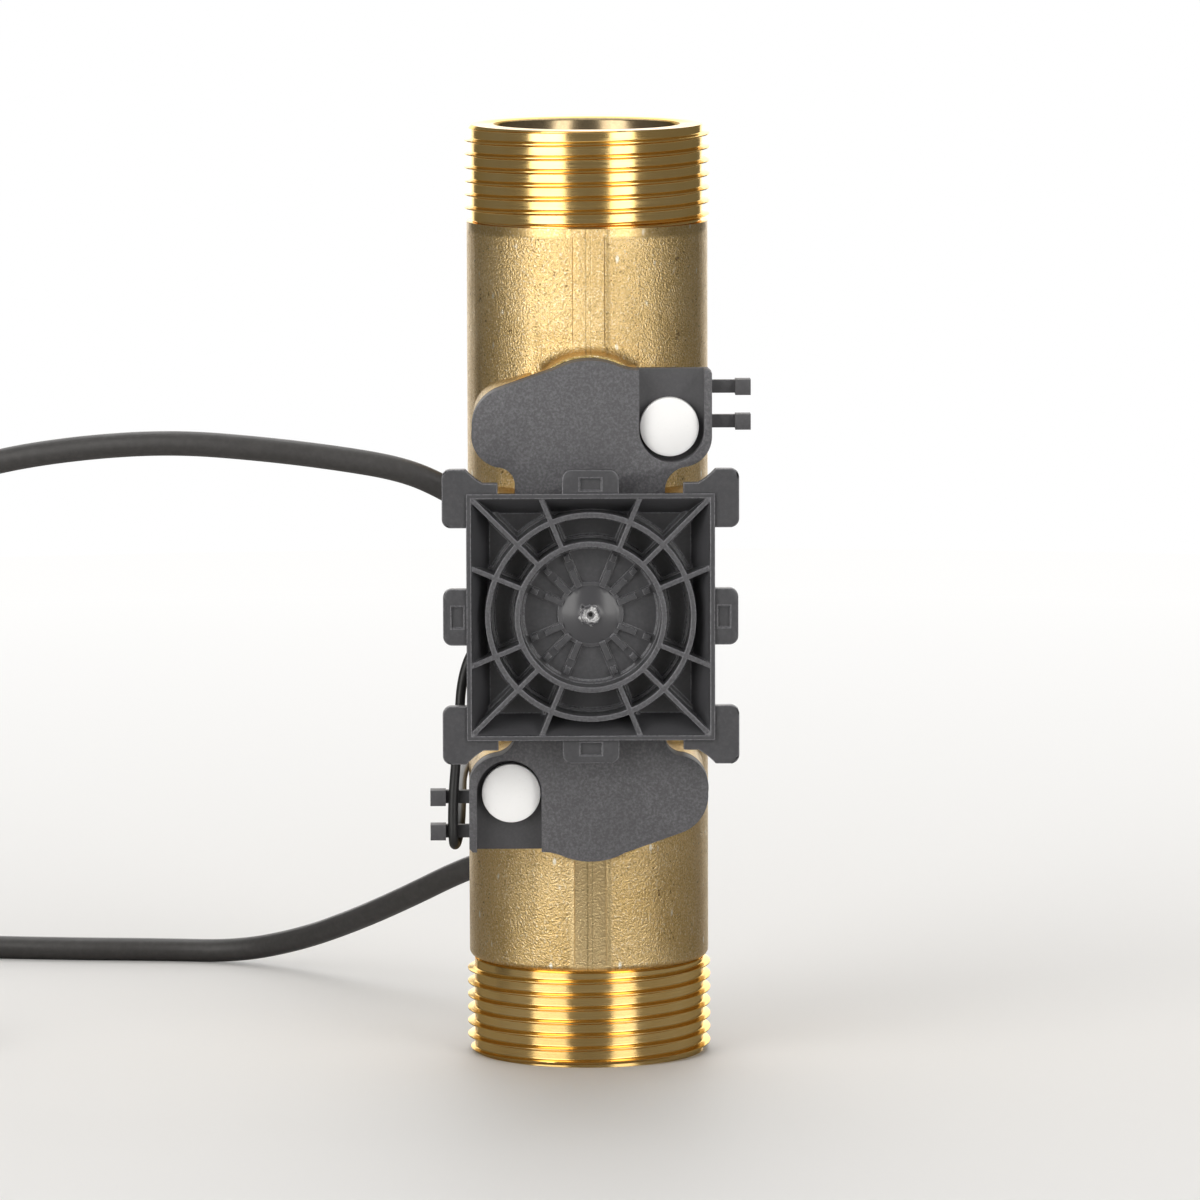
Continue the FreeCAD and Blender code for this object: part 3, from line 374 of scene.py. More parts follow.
# Mesh helpers

def new_object(name, data, *materials):
    """An object in the scene that wears the named finishes."""
    obj = bpy.data.objects.new(name, data)
    bpy.context.scene.collection.objects.link(obj)
    for material in materials:
        data.materials.append(MATERIALS[material])
    return obj


def mesh_from(bm, name):
    """The bmesh as a new mesh."""
    mesh = bpy.data.meshes.new(name)
    bm.to_mesh(mesh)
    bm.free()
    return mesh


def smooth(mesh, degrees):
    """Smooth shading, except over edges sharper than an angle."""
    mesh.shade_smooth()
    mesh.set_sharp_from_angle(angle=math.radians(degrees))


def solid_copy(node, join=True):
    """The node's mesh as a bmesh, with its loose triangles merged and its flats joined if asked."""
    bm = bmesh.new()
    bm.from_mesh(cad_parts[node].data)
    bmesh.ops.remove_doubles(bm, verts=bm.verts, dist=MERGE)
    if join:
        flat = math.radians(0.4)
        bmesh.ops.dissolve_limit(bm, angle_limit=flat, verts=bm.verts, edges=bm.edges)
    return bm


def baked(obj):
    """Applies every modifier, by taking the evaluated mesh."""
    evaluated = obj.evaluated_get(bpy.context.evaluated_depsgraph_get())
    mesh = bpy.data.meshes.new_from_object(evaluated)
    obj.modifiers.clear()
    old = obj.data
    obj.data = mesh
    bpy.data.meshes.remove(old)
    return obj


def bevelled(obj, width, limit):
    """A bevel of two steps on the object, for edges chosen by angle or by weight."""
    bevel = obj.modifiers.new("edges", "BEVEL")
    bevel.width = width
    bevel.segments = 2
    bevel.limit_method = limit
    return bevel


def soften(obj, width, degrees):
    """Rounds the edges sharper than an angle, by up to a width in metres."""
    bevel = bevelled(obj, width, "ANGLE")
    bevel.angle_limit = math.radians(degrees)
    bevel.use_clamp_overlap = True
    baked(obj)
    smooth(obj.data, degrees)


def edged(obj, width, small_width, small_radius, slot):
    """Rounds the sharp edges of a fine moulding in the material of a slot.

    Edges within a radius of the middle, where the forms are small, get a smaller width."""
    sharp = math.radians(40.0)
    bm = bmesh.new()
    bm.from_mesh(obj.data)
    weights = bm.edges.layers.float.new("bevel_weight_edge")
    for edge in bm.edges:
        if edge.is_manifold and edge.calc_face_angle() > sharp:
            middle = (edge.verts[0].co + edge.verts[1].co) / 2
            small = math.hypot(middle.x, middle.z - MIDDLE.z) < small_radius
            edge[weights] = small_width / width if small else 1.0
    bm.to_mesh(obj.data)
    bm.free()
    obj.data.shade_smooth()
    bevel = bevelled(obj, width, "WEIGHT")
    bevel.use_clamp_overlap = False
    bevel.material = slot
    flat = obj.modifiers.new("flats", "WEIGHTED_NORMAL")
    flat.keep_sharp = False
    baked(obj)


def solid_object(node, name, material, join=True):
    """The node's mesh as a new object."""
    return new_object(name, mesh_from(solid_copy(node, join), name), material)


def stand_in(obj, node):
    """Puts a finished piece in the place of its CAD node."""
    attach(obj, "root")
    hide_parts(node)


def dressed(node, name, material, width, degrees=32.0):
    """A finished copy of a CAD node with its edges rounded, standing for the node."""
    obj = solid_object(node, name, material)
    soften(obj, width, degrees)
    stand_in(obj, node)
    return obj


def finish_node(node, material):
    """A carried-over CAD node in its own finish."""
    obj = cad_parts[node]
    if not obj.material_slots:
        obj.data.materials.append(MATERIALS[material])
    for slot in obj.material_slots:
        slot.material = MATERIALS[material]


# Geometry Nodes

class Tree(Graph):
    """A geometry node tree under construction."""

    def __init__(self, name, inputs):
        super().__init__(bpy.data.node_groups.new(name, "GeometryNodeTree"))
        self.socket("Geometry", "INPUT", "Geometry")
        self.keys = {}
        for label, kind, value in (*inputs, ("Material", "Material", None)):
            socket = self.socket(label, "INPUT", kind)
            if value is not None:
                socket.default_value = value
            self.keys[label] = socket.identifier
        self.socket("Geometry", "OUTPUT", "Geometry")
        self.source = self.add("NodeGroupInput")
        self.target = self.add("NodeGroupOutput")

    def socket(self, label, side, kind):
        """A new socket on the outside of the tree."""
        face = self.tree.interface
        return face.new_socket(label, in_out=side, socket_type="NodeSocket" + kind)

    def input(self, label):
        return self.source.outputs[label]

    def vector(self, x=0.0, y=0.0, z=0.0):
        return self.add("ShaderNodeCombineXYZ", {"X": x, "Y": y, "Z": z}).outputs[0]

    def place(self):
        """X, Y and Z of each point."""
        position = self.add("GeometryNodeInputPosition").outputs[0]
        return self.add("ShaderNodeSeparateXYZ", {"Vector": position}).outputs

    def merged(self, mesh):
        """The mesh with its doubled points made one."""
        values = {"Geometry": mesh, "Distance": MERGE}
        return self.add("GeometryNodeMergeByDistance", values).outputs[0]

    def end(self, geometry):
        """Real geometry in one material, as the export needs it."""
        real = self.add("GeometryNodeRealizeInstances", {"Geometry": geometry}).outputs[0]
        values = {"Geometry": real, "Material": self.input("Material")}
        painted = self.add("GeometryNodeSetMaterial", values)
        self.put(painted.outputs[0], self.target.inputs[0])

    def grow(self, name, values, material):
        """A new object whose mesh is this tree's result."""
        obj = new_object(name, bpy.data.meshes.new(name))
        modifier = obj.modifiers.new("tree", "NODES")
        modifier.node_group = self.tree
        for label, value in values.items():
            modifier[self.keys[label]] = value
        modifier[self.keys["Material"]] = MATERIALS[material]
        return baked(obj)


def thread_profile(tree, share):
    """Height of the thread, from 0 at its root to 1 at its crest, by the share of a turn."""
    rise = ((0.0, 1.0), (0.0357, 1.0), (0.0714, 0.8), (0.107, 0.42), (0.143, 0.15),
            (0.179, 0.03), (0.214, 0.0))
    profile = (*rise, *((1.0 - x, y) for x, y in reversed(rise)))
    shape = tree.add("ShaderNodeFloatCurve", {"Value": share})
    curve = shape.mapping.curves[0]
    for x, y in profile[1:-1]:
        curve.points.new(x, y)
    curve.points[0].location = profile[0]
    curve.points[len(curve.points) - 1].location = profile[-1]
    for point in curve.points:
        point.handle_type = "VECTOR"
    shape.mapping.update()
    return shape.outputs[0]


def closed_pipe_end(tree, mesh):
    """Closes the thread's shell over the end face, the bore's chamfer, the bore and the far end."""
    bore, root, length = (tree.input(label) for label in ("Bore Radius", "Root Radius", "Length"))
    chamfer = tree.input("Bore Chamfer")
    point = tree.place()
    flat = tree.vector(point["X"], point["Y"])
    unit = tree.add("ShaderNodeVectorMath", {"Vector": flat}, operation="NORMALIZE").outputs[0]
    selection = tree.math("LESS_THAN", point["Z"], 1e-6)
    flare = tree.math("ADD", bore, chamfer)
    rings = ((flare, 0.0), (bore, chamfer), (bore, length), (root, length))
    for radius, height in rings:
        values = {"Mesh": mesh, "Selection": selection, "Offset Scale": 0.0}
        extruded = tree.add("GeometryNodeExtrudeMesh", values, mode="EDGES").outputs
        values = {"Vector": unit, "Scale": radius}
        ring = tree.add("ShaderNodeVectorMath", values, operation="SCALE").outputs[0]
        ring = tree.add("ShaderNodeSeparateXYZ", {"Vector": ring}).outputs
        values = {"Geometry": extruded["Mesh"], "Selection": extruded["Top"],
                  "Position": tree.vector(ring["X"], ring["Y"], height)}
        mesh = tree.add("GeometryNodeSetPosition", values).outputs[0]
        selection = extruded["Top"]
    return tree.merged(mesh)


def thread_tree():
    """A threaded pipe end as one closed shell, from its end face at z 0 up to its length.

    The grid's rows follow the helix, so crests and roots stay crisp. They start below the end
    face and end above the length, and both ends are levelled."""
    turns = 9
    rows = 28 * turns + 1
    end_chamfer = 0.8
    run_out = 0.0008
    tree = Tree("threaded_end", [
        ("Crest Radius", "Float", 0.0208), ("Root Radius", "Float", 0.0193),
        ("Pitch", "Float", 0.0023), ("Length", "Float", 0.016), ("Phase", "Float", 0.0),
        ("Face Radius", "Float", 0.0196), ("Bore Radius", "Float", 0.0155),
        ("Bore Chamfer", "Float", 0.0005),
    ])
    pitch, phase, length = (tree.input(label) for label in ("Pitch", "Phase", "Length"))
    crest, root = tree.input("Crest Radius"), tree.input("Root Radius")
    sizes = {"Size X": 1.0, "Size Y": 1.0, "Vertices X": 161, "Vertices Y": rows}
    grid = tree.add("GeometryNodeMeshGrid", sizes)
    place = tree.place()
    around = tree.math("ADD", place["X"], 0.5)
    along = tree.math("MULTIPLY", tree.math("ADD", place["Y"], 0.5), float(turns))
    rise = tree.math("SUBTRACT", tree.math("ADD", along, around), 2.0)
    free = tree.math("MULTIPLY", tree.math("ADD", rise, phase), pitch)
    height = tree.math("MINIMUM", tree.math("MAXIMUM", free, 0.0), length)

    # A whole number of turns keeps the share of a turn positive
    turn = tree.math("SUBTRACT", tree.math("DIVIDE", height, pitch), around)
    turn = tree.math("ADD", tree.math("SUBTRACT", turn, phase), 8.0)
    profile = thread_profile(tree, tree.math("FRACT", turn))
    left = tree.math("DIVIDE", tree.math("SUBTRACT", length, height), run_out)
    depth = tree.math("MULTIPLY", tree.math("SUBTRACT", crest, root), profile)
    radius = tree.math("MULTIPLY", depth, tree.math("MINIMUM", left, 1.0))
    radius = tree.math("ADD", radius, root)
    chamfer = tree.math("MULTIPLY", height, end_chamfer)
    chamfer = tree.math("ADD", tree.input("Face Radius"), chamfer)
    radius = tree.math("MINIMUM", radius, chamfer)
    angle = tree.math("MULTIPLY", around, 2 * math.pi)
    across = tree.math("MULTIPLY", radius, tree.math("COSINE", angle))
    deep = tree.math("MULTIPLY", radius, tree.math("SINE", angle))
    values = {"Geometry": grid.outputs[0], "Position": tree.vector(across, deep, height)}
    shell = tree.merged(tree.add("GeometryNodeSetPosition", values).outputs[0])
    tree.end(closed_pipe_end(tree, shell))
    return tree


def pin_row_tree():
    """A row of square pins along X."""
    tree = Tree("pin_row", [
        ("Count", "Int", 6), ("Spacing", "Float", 0.0022), ("Width", "Float", 0.0006),
        ("Height", "Float", 0.001), ("Start", "Vector", (0.0, 0.0, 0.0)),
    ])
    values = {"Count": tree.input("Count"), "Start Location": tree.input("Start"),
              "Offset": tree.vector(tree.input("Spacing"))}
    row = tree.add("GeometryNodeMeshLine", values)
    width = tree.input("Width")
    size = tree.vector(width, tree.input("Height"), width)
    pin = tree.add("GeometryNodeMeshCube", {"Size": size})
    values = {"Points": row.outputs[0], "Instance": pin.outputs["Mesh"]}
    tree.end(tree.add("GeometryNodeInstanceOnPoints", values).outputs[0])
    return tree


# Pieces

def cut_body(low, high):
    """The CAD body between two heights, with both cut ends closed."""
    most_corners = 12
    bm = solid_copy("brass_body")
    for height, normal in ((low, -1.0), (high, 1.0)):
        geometry = bm.verts[:] + bm.edges[:] + bm.faces[:]
        cut = bmesh.ops.bisect_plane(bm, geom=geometry, dist=1e-7, plane_co=(0, 0, height),
                                     plane_no=(0, 0, normal), clear_outer=True)
        rim = [e for e in cut["geom_cut"] if isinstance(e, bmesh.types.BMEdge)]
        bmesh.ops.bridge_loops(bm, edges=rim)
    bmesh.ops.triangulate(bm, faces=[f for f in bm.faces if len(f.verts) > most_corners])
    return bm


def drafted_flange(bm):
    """Lets the flange's flat top and bottom fall away to the back, as a casting's sides do."""
    draft = 0.17
    boss_half_width = 0.008
    flat_from, flat_to = 0.0392, 0.0406
    for vert in bm.verts:
        height = vert.co.z - MIDDLE.z
        depth = FLANGE_FRONT + vert.co.y
        flat = flat_from < abs(height) < flat_to and abs(vert.co.x) > boss_half_width
        if flat and depth > 1e-5:
            vert.co.z -= math.copysign(draft * depth, height)


def from_end(height):
    """Distance along the pipe from the nearer end."""
    return min(height, BODY_LENGTH - height)


def is_flange(face):
    """The casting's faces beside the cover, which get a darker brass."""
    least_depth, shoulder_end = 0.0235, 0.02
    centre = face.calc_center_median()
    beside_cover = -centre.y > least_depth and from_end(centre.z) > shoulder_end
    return face.normal.y < -0.9 and beside_cover


def is_cast(face):
    """Outer faces of the casting, without the flange's front, the shoulders and the bores."""
    least_radius, groove_end, shoulder_end, front_edge = 0.0201, 0.0166, 0.0185, 0.0012
    centre = face.calc_center_median()
    outward = face.normal.x * centre.x + face.normal.y * centre.y
    radius = math.hypot(centre.x, centre.y)
    front = face.normal.y < -0.99 and -centre.y > FLANGE_FRONT - front_edge
    shoulder = abs(face.normal.z) > 0.95 and from_end(centre.z) < shoulder_end
    groove = from_end(centre.z) < groove_end
    return radius > least_radius and outward > -1e-4 and not (front or shoulder or groove)


def finish_thread(mesh):
    """Turns a thread's faces outwards and gives its end face and bore their duller finish."""
    most_bore_radius = 0.0165
    bm = bmesh.new()
    bm.from_mesh(mesh)
    bmesh.ops.recalc_face_normals(bm, faces=bm.faces)
    bm.to_mesh(mesh)
    bm.free()
    smooth(mesh, 50.0)
    mesh.materials.append(MATERIALS["face"])
    mesh.materials.append(MATERIALS["bore"])
    for polygon in mesh.polygons:
        if abs(polygon.normal.z) > 0.99 and from_end(polygon.center.z) < 1e-5:
            polygon.material_index = 1
        elif math.hypot(polygon.center.x, polygon.center.y) < most_bore_radius:
            polygon.material_index = 2


def add_body(options):
    """Brass casting with its two threads, whose phases put the crests in the right places."""
    bm = cut_body(THREAD_REACH, BODY_LENGTH - THREAD_REACH)
    drafted_flange(bm)
    for face in bm.faces:
        face.material_index = 1 if is_cast(face) else 2 if is_flange(face) else 0
    mesh = mesh_from(bm, "brass_casting")
    body = new_object("brass_casting", mesh, "machined", "cast", "flange")
    soften(body, 0.00025, 46.0)

    tree = thread_tree()
    values = {
        "Crest Radius": options.thread_diameter / 2,
        "Root Radius": options.thread_diameter / 2 - options.thread_depth,
        "Pitch": options.thread_pitch,
        "Length": THREAD_REACH,
    }
    lower = tree.grow("lower_thread", {**values, "Phase": 0.662, "Face Radius": 0.02}, "machined")
    values.update({"Phase": 0.6815, "Face Radius": 0.01976})
    upper = tree.grow("upper_thread", values, "machined")
    upside_down = Matrix.Rotation(math.pi, 4, "X")
    upper.data.transform(Matrix.Translation((0, 0, BODY_LENGTH)) @ upside_down)
    finish_thread(lower.data)
    finish_thread(upper.data)
    pieces = [body, lower, upper]
    with bpy.context.temp_override(active_object=body, selected_editable_objects=pieces):
        bpy.ops.object.join()
    stand_in(body, "brass_body")


def add_insert():
    """Measuring insert, mirrors, ring and the transducers with their clamps."""
    finishes = {
        "insert": ("measuring_insert",),
        "steel": ("insert_ring",),
        "mirror": ("lower_mirror", "upper_mirror"),
        "transducer": ("lower_transducer", "upper_transducer"),
        "seal": ("lower_transducer_seal", "upper_transducer_seal", "board_pad", "cover_gasket"),
        "screw": ("lower_transducer_clamp", "upper_transducer_clamp", "clamp_screws",
                  "lower_cover_screw", "upper_cover_screw"),
        "board": ("terminal_board",),
        "header": ("header_blocks",),
        "wire": ("lower_transducer_wire", "upper_transducer_wire"),
    }
    for material, nodes in finishes.items():
        for node in nodes:
            finish_node(node, material)
    inset, sunk, first_pin = 0.0012, 0.0001, -0.0055
    low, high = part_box("header_blocks")
    tree = pin_row_tree()
    for name, z in (("lower_header_pins", low[2] + inset), ("upper_header_pins", high[2] - inset)):
        start = (first_pin, low[1] + sunk, z)
        pins = tree.grow(name, {"Start": start, "Height": 0.0005}, "screw")
        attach(pins, "root")


def add_cover():
    """Cover with its wings and hooks, and the two sealing caps. The pockets' floors are smooth, and
    darker as painted shade.
    """
    wing_face = 0.0325
    cover = dressed("sensor_cover", "sensor_cover_moulding", "cover", 0.0003)
    cover.data.materials.append(MATERIALS["pocket"])
    for polygon in cover.data.polygons:
        # Faces set back in the pockets take the darker pocket plastic, which is painted shade
        if -polygon.center.y < wing_face and polygon.normal.y < -0.2:
            polygon.material_index = 1
    for side in ("lower", "upper"):
        cap = dressed(side + "_seal_cap", side + "_white_cap", "cap", 0.00015, 50.0)
        smooth(cap.data, 60.0)


def add_adapter():
    """Ribbed adapter on the front of the cover: grained rib tops painted lighter as lit, edges
    painted pale as highlights, and a glossy dome.
    """
    dome_radius = 0.0050
    dome_back = 0.0350
    hub_radius = 0.0112
    adapter = solid_object("calculator_adapter", "ribbed_adapter", "adapter", join=False)
    for material in ("rib", "gate", "edge"):
        adapter.data.materials.append(MATERIALS[material])
    for polygon in adapter.data.polygons:
        place = polygon.center
        # Rib tops take the lighter rib plastic: painted light
        if polygon.normal.y < -0.9 and abs(-place.y - RIB_TOPS) < 0.0001:
            polygon.material_index = 1
        if math.hypot(place.x, place.z - MIDDLE.z) < dome_radius and -place.y > dome_back:
            polygon.material_index = 2
    # The bevels take the pale edge plastic, a painted highlight along every sharp edge
    edged(adapter, 0.00018, 0.00008, hub_radius, 3)
    stand_in(adapter, "calculator_adapter")


def add_probe():
    """Temperature probe in the back of the pipe, with its washer and moulded head."""
    dressed("temperature_probe", "probe_hexagon", "steel", 0.0002, 35.0)
    dressed("probe_seal", "probe_washer", "washer", 0.0002, 40.0)
    dressed("probe_head", "probe_cap", "head", 0.0003, 40.0)


# Cords

def cord_curve(name, points, diameter, material):
    """A smooth round cord on control points in metres."""
    curve = bpy.data.curves.new(name, "CURVE")
    curve.dimensions = "3D"
    curve.bevel_depth = diameter / 2
    curve.bevel_resolution = 5
    curve.resolution_u = 8
    curve.use_fill_caps = True
    spline = curve.splines.new("NURBS")
    spline.points.add(len(points) - 1)
    for place, point in zip(spline.points, points):
        place.co = (*point, 1.0)
    spline.order_u = 3
    spline.use_endpoint_u = True
    obj = new_object(name, curve, material)
    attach(obj, "root")
    return obj


def millimetres(*points):
    """Points given in millimetres, in metres."""
    return [Vector(p) * MM for p in points]


def spiral(centre, angle, direction, stages):
    """Control points of a wound coil, from a start angle on.

    Each stage is turns, then the radius at its start and its end, then the height at its start and
    its end, in millimetres. Direction is 1 for anticlockwise from above."""
    steps = 16
    outside_curve = math.cos(math.pi / steps)
    points = []
    for turns, radius, next_radius, height, next_height in stages:
        count = max(2, round(turns * steps))
        for i in range(count):
            share = i / count
            turn = angle + direction * 2 * math.pi * turns * share
            r = (radius + (next_radius - radius) * share) / outside_curve
            x = centre[0] + r * math.cos(turn)
            y = centre[1] + r * math.sin(turn)
            z = height + (next_height - height) * share
            points.append(Vector((x, y, z)) * MM)
        angle += direction * 2 * math.pi * turns
    return points


def signal_route():
    """From the cover out to the left, over the coil and down to the floor."""
    return millimetres(
        (-20.2314, -30.25, 98.3316), (-24.6413, -30.25, 101.0872), (-31.5, -30.0, 104.0),
        (-42.0, -29.4, 105.8), (-55.5, -28.3, 107.4), (-70.0, -26.8, 108.4),
        (-85.0, -24.9, 107.4), (-100.0, -23.0, 105.0), (-117.0, -22.5, 100.0),
        (-133.0, -24.0, 90.5), (-146.0, -26.0, 77.0), (-155.0, -27.0, 61.0),
        (-160.5, -25.5, 44.5), (-162.4, -20.8, 29.0), (-161.6, -13.383, 17.2715),
        (-161.6, -6.83, 11.0),
    )


def signal_coil():
    """Two layers, wound inwards on top and outwards below, then on to the plug."""
    stages = (
        (2.4, 26.6, 16.6, 5.9, 5.8),
        (0.6, 16.5, 16.1, 5.8, 2.1),
        (2.75, 16.1, 28.7, 2.1, 2.1),
    )
    end = millimetres((-138.0, -25.7, 2.1), (-144.0, -25.7, 2.5), (-153.0, -25.7, 3.5))
    return spiral((-135.0, 3.0), math.pi, -1, stages) + end


def sensor_route():
    """From the probe's head down to the floor and along it to the left."""
    return millimetres(
        (-8.0, 38.5, 30.4), (-13.593, 41.646, 27.6035), (-22.5, 49.0, 23.4), (-32.0, 58.0, 17.3),
        (-42.0, 70.5, 11.0), (-52.0, 83.0, 5.6), (-63.5, 91.6, 2.1), (-77.0, 94.0, 2.1),
        (-92.0, 95.2, 2.1), (-107.0, 97.3, 2.1), (-120.0, 99.7, 2.1), (-132.0, 99.7, 2.1),
        (-144.0, 99.7, 2.1),
    )


def sensor_coil():
    """Two layers, wound inwards below and outwards on top, then on to the metal sensor."""
    stages = (
        (2.95, 28.7, 16.3, 2.1, 2.1),
        (0.85, 16.1, 16.6, 2.1, 5.8),
        (2.418, 16.6, 26.6, 5.8, 5.8),
    )
    end = millimetres((-176.6, 71.0, 5.8), (-176.6, 62.0, 5.0), (-176.6, 53.0, 3.2),
                      (-176.6, 46.0, 3.1), (-176.6, 41.9, 3.1))
    return spiral((-150.0, 71.0), math.pi / 2 + 0.2, 1, stages) + end


def lead_route():
    """From the cover down over the hooks, back round the lower one and behind the pipe."""
    return millimetres(
        (-18.0427, -30.25, 75.5615), (-20.0996, -30.25, 73.1102), (-21.7, -30.3, 68.0),
        (-22.1, -30.4, 62.0), (-22.6, -30.4, 55.5), (-23.1, -30.4, 49.8), (-23.3, -30.4, 45.0),
        (-23.2, -30.4, 40.8), (-22.9, -28.5, 39.7), (-22.4, -26.6, 40.8), (-22.0, -24.0, 43.2),
        (-21.9, -18.5, 45.2), (-21.85, -10.5, 46.6), (-21.8, -1.5, 47.8), (-20.9, 7.0, 49.2),
        (-17.4, 15.6, 50.8), (-12.8, 23.2, 51.8), (-8.0, 30.2, 51.0), (-4.2, 35.4, 48.6),
        (-2.0, 38.4, 44.5), (-2.0, 38.4, 39.5),
    )


def add_signal_cable(options):
    """Upper cable with its coil, boot and plug."""
    diameter = options.cable_diameter
    route = signal_route() + signal_coil()
    cable = cord_curve("signal_cable_cord", route, diameter, "sheath")
    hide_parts("signal_cable", "signal_cable_coil")
    dressed("signal_cable_gland", "signal_cable_boot", "boot", 0.0001, 40.0)
    plug = dressed("signal_cable_plug", "signal_plug_body", "plug", 0.0002, 40.0)


def add_sensor_cable(options):
    """Lower cable with its coil and the metal sensor on its end."""
    diameter = options.cable_diameter
    route = sensor_route() + sensor_coil()
    cable = cord_curve("sensor_cable_cord", route, diameter, "sheath")
    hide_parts("sensor_cable", "sensor_cable_coil")
    tip = dressed("sensor_cable_probe", "sensor_sleeve", "steel", 0.0001, 40.0)


def add_lead(options):
    """Thin lead over the two lower left hooks."""
    route = lead_route()
    lead = cord_curve("sensor_lead_cord", route, options.lead_diameter, "lead")
    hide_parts("sensor_lead")
    dressed("lead_grommet", "lead_boot", "boot", 0.0002, 40.0)


# Stage

# Bright surfaces of the studio, seen from the object: from and to, as a turn from the camera's
# side, then as a height over the horizon, all in degrees, and strength
PANELS = (
    (-59, -23, -60, 50, 3.2),
    (23, 47, -60, 50, 3.3),
    (156, 205, -60, 38, 1.8),
    (-205, -156, -60, 38, 1.8),
    (-205, 205, 60, 100, 0.8),
)

# Strength of the studio between its bright surfaces
ROOM = 0.18

# The camera, as fitted to the photograph: its place, how it is turned in degrees, and its focal
# length and the picture's width in pixels
CAMERA_PLACE = (-0.0165, -1.434, 0.25328)
YAW, PITCH, ROLL = 0.7416, 6.9672, -0.155
FOCAL_LENGTH = 8402.8
PICTURE_WIDTH = 1200.0


def make_world():
    """White for the camera, and a studio of their own for light and reflections.

    The studio is a dim room with a paler ceiling, a white wall behind the object and a tall
    softbox on each side of the camera."""
    soft_side, soft_end = 0.03, 0.06
    world = bpy.data.worlds.new("studio")
    bpy.context.scene.world = world
    world.use_nodes = True
    w = Nodes(world.node_tree, "Generated")
    x, y, z = w.axes()
    turn = w.math("ARCTAN2", x, w.math("MULTIPLY", y, -1.0))
    height = w.math("ARCSINE", z)
    strength = ROOM
    for start, end, low, high, power in PANELS:
        across = w.band(turn, math.radians(start), math.radians(end), soft_side)
        along = w.band(height, math.radians(low), math.radians(high), soft_end)
        panel = w.math("MULTIPLY", w.math("MULTIPLY", across, along), power)
        strength = w.math("ADD", panel, strength)
    studio = w.add("ShaderNodeBackground", {"Color": (1.0, 0.985, 0.96, 1.0),
                                            "Strength": strength})
    white = w.add("ShaderNodeBackground", {"Color": (1.0, 1.0, 1.0, 1.0)})
    seen = w.add("ShaderNodeLightPath").outputs["Is Camera Ray"]
    w.add("ShaderNodeOutputWorld", {"Surface": w.blend(seen, studio, white)})


def floor_material(radius):
    """Pale table that keeps the shadows near the object and goes to white towards its edge.

    In reflections it is darker and glossier, so that the lower thread shows the softboxes."""
    s = Shader("pale_floor")
    s.set("Specular IOR Level", 0.4)
    path = s.add("ShaderNodeLightPath")
    mirrored = path.outputs["Is Glossy Ray"]
    s.colour(s.mix(mirrored, (0.725, 0.715, 0.70), (0.34, 0.33, 0.32)))
    s.rough(s.ramp(mirrored, 0.6, 0.1))
    x, y, _ = s.axes()
    far = s.ramp(s.distance(x, y), 0.0, 1.0, 0.02, radius - 0.1)
    glow = s.add("ShaderNodeEmission", {"Color": (1.0, 0.995, 0.985, 1.0)})
    seen = s.math("MULTIPLY", far, path.outputs["Is Camera Ray"])
    s.put(s.blend(seen, s.surface, glow), s.output.inputs["Surface"])
    return s.material


def add_floor():
    """Round table under the object."""
    radius = 0.75
    bm = bmesh.new()
    bmesh.ops.create_circle(bm, cap_ends=True, segments=96, radius=radius)
    floor = new_object("floor", mesh_from(bm, "floor"))
    floor.data.materials.append(floor_material(radius))


def add_softbox():
    """Lamp above and behind the object."""
    light = bpy.data.lights.new("top_softbox", "AREA")
    light.shape = "RECTANGLE"
    light.size = 0.9
    light.size_y = 0.6
    light.energy = 3.0
    lamp = new_object("top_softbox", light)
    lamp.location = (0.0, 0.55, 0.9)
    towards = Vector((0.0, 0.0, 0.09)) - lamp.location
    lamp.rotation_euler = towards.to_track_quat("-Z", "Y").to_euler()


def add_camera():
    """Camera at the photograph's place."""
    camera = bpy.data.cameras.new("camera")
    camera.sensor_width = 36.0
    camera.sensor_fit = "HORIZONTAL"
    camera.lens = FOCAL_LENGTH / PICTURE_WIDTH * camera.sensor_width
    camera.clip_start = 0.05
    camera.clip_end = 60.0
    yaw, pitch, roll = (math.radians(angle) for angle in (YAW, PITCH, ROLL))
    level = math.cos(pitch)
    forward = Vector((math.sin(yaw) * level, math.cos(yaw) * level, -math.sin(pitch)))
    right = Vector((math.cos(yaw), -math.sin(yaw), 0.0))
    up = right.cross(forward)
    rolled_right = math.cos(roll) * right + math.sin(roll) * up
    rolled_up = -math.sin(roll) * right + math.cos(roll) * up
    rotation = Matrix((rolled_right, rolled_up, -forward)).transposed()
    obj = new_object("camera", camera)
    obj.matrix_world = Matrix.Translation(CAMERA_PLACE) @ rotation.to_4x4()
    bpy.context.scene.camera = obj


def add_stage():
    """Floor, lamp, world and camera."""
    add_floor()
    make_world()
    add_softbox()
    add_camera()
    bpy.context.scene.view_settings.view_transform = "Standard"


# Add-on

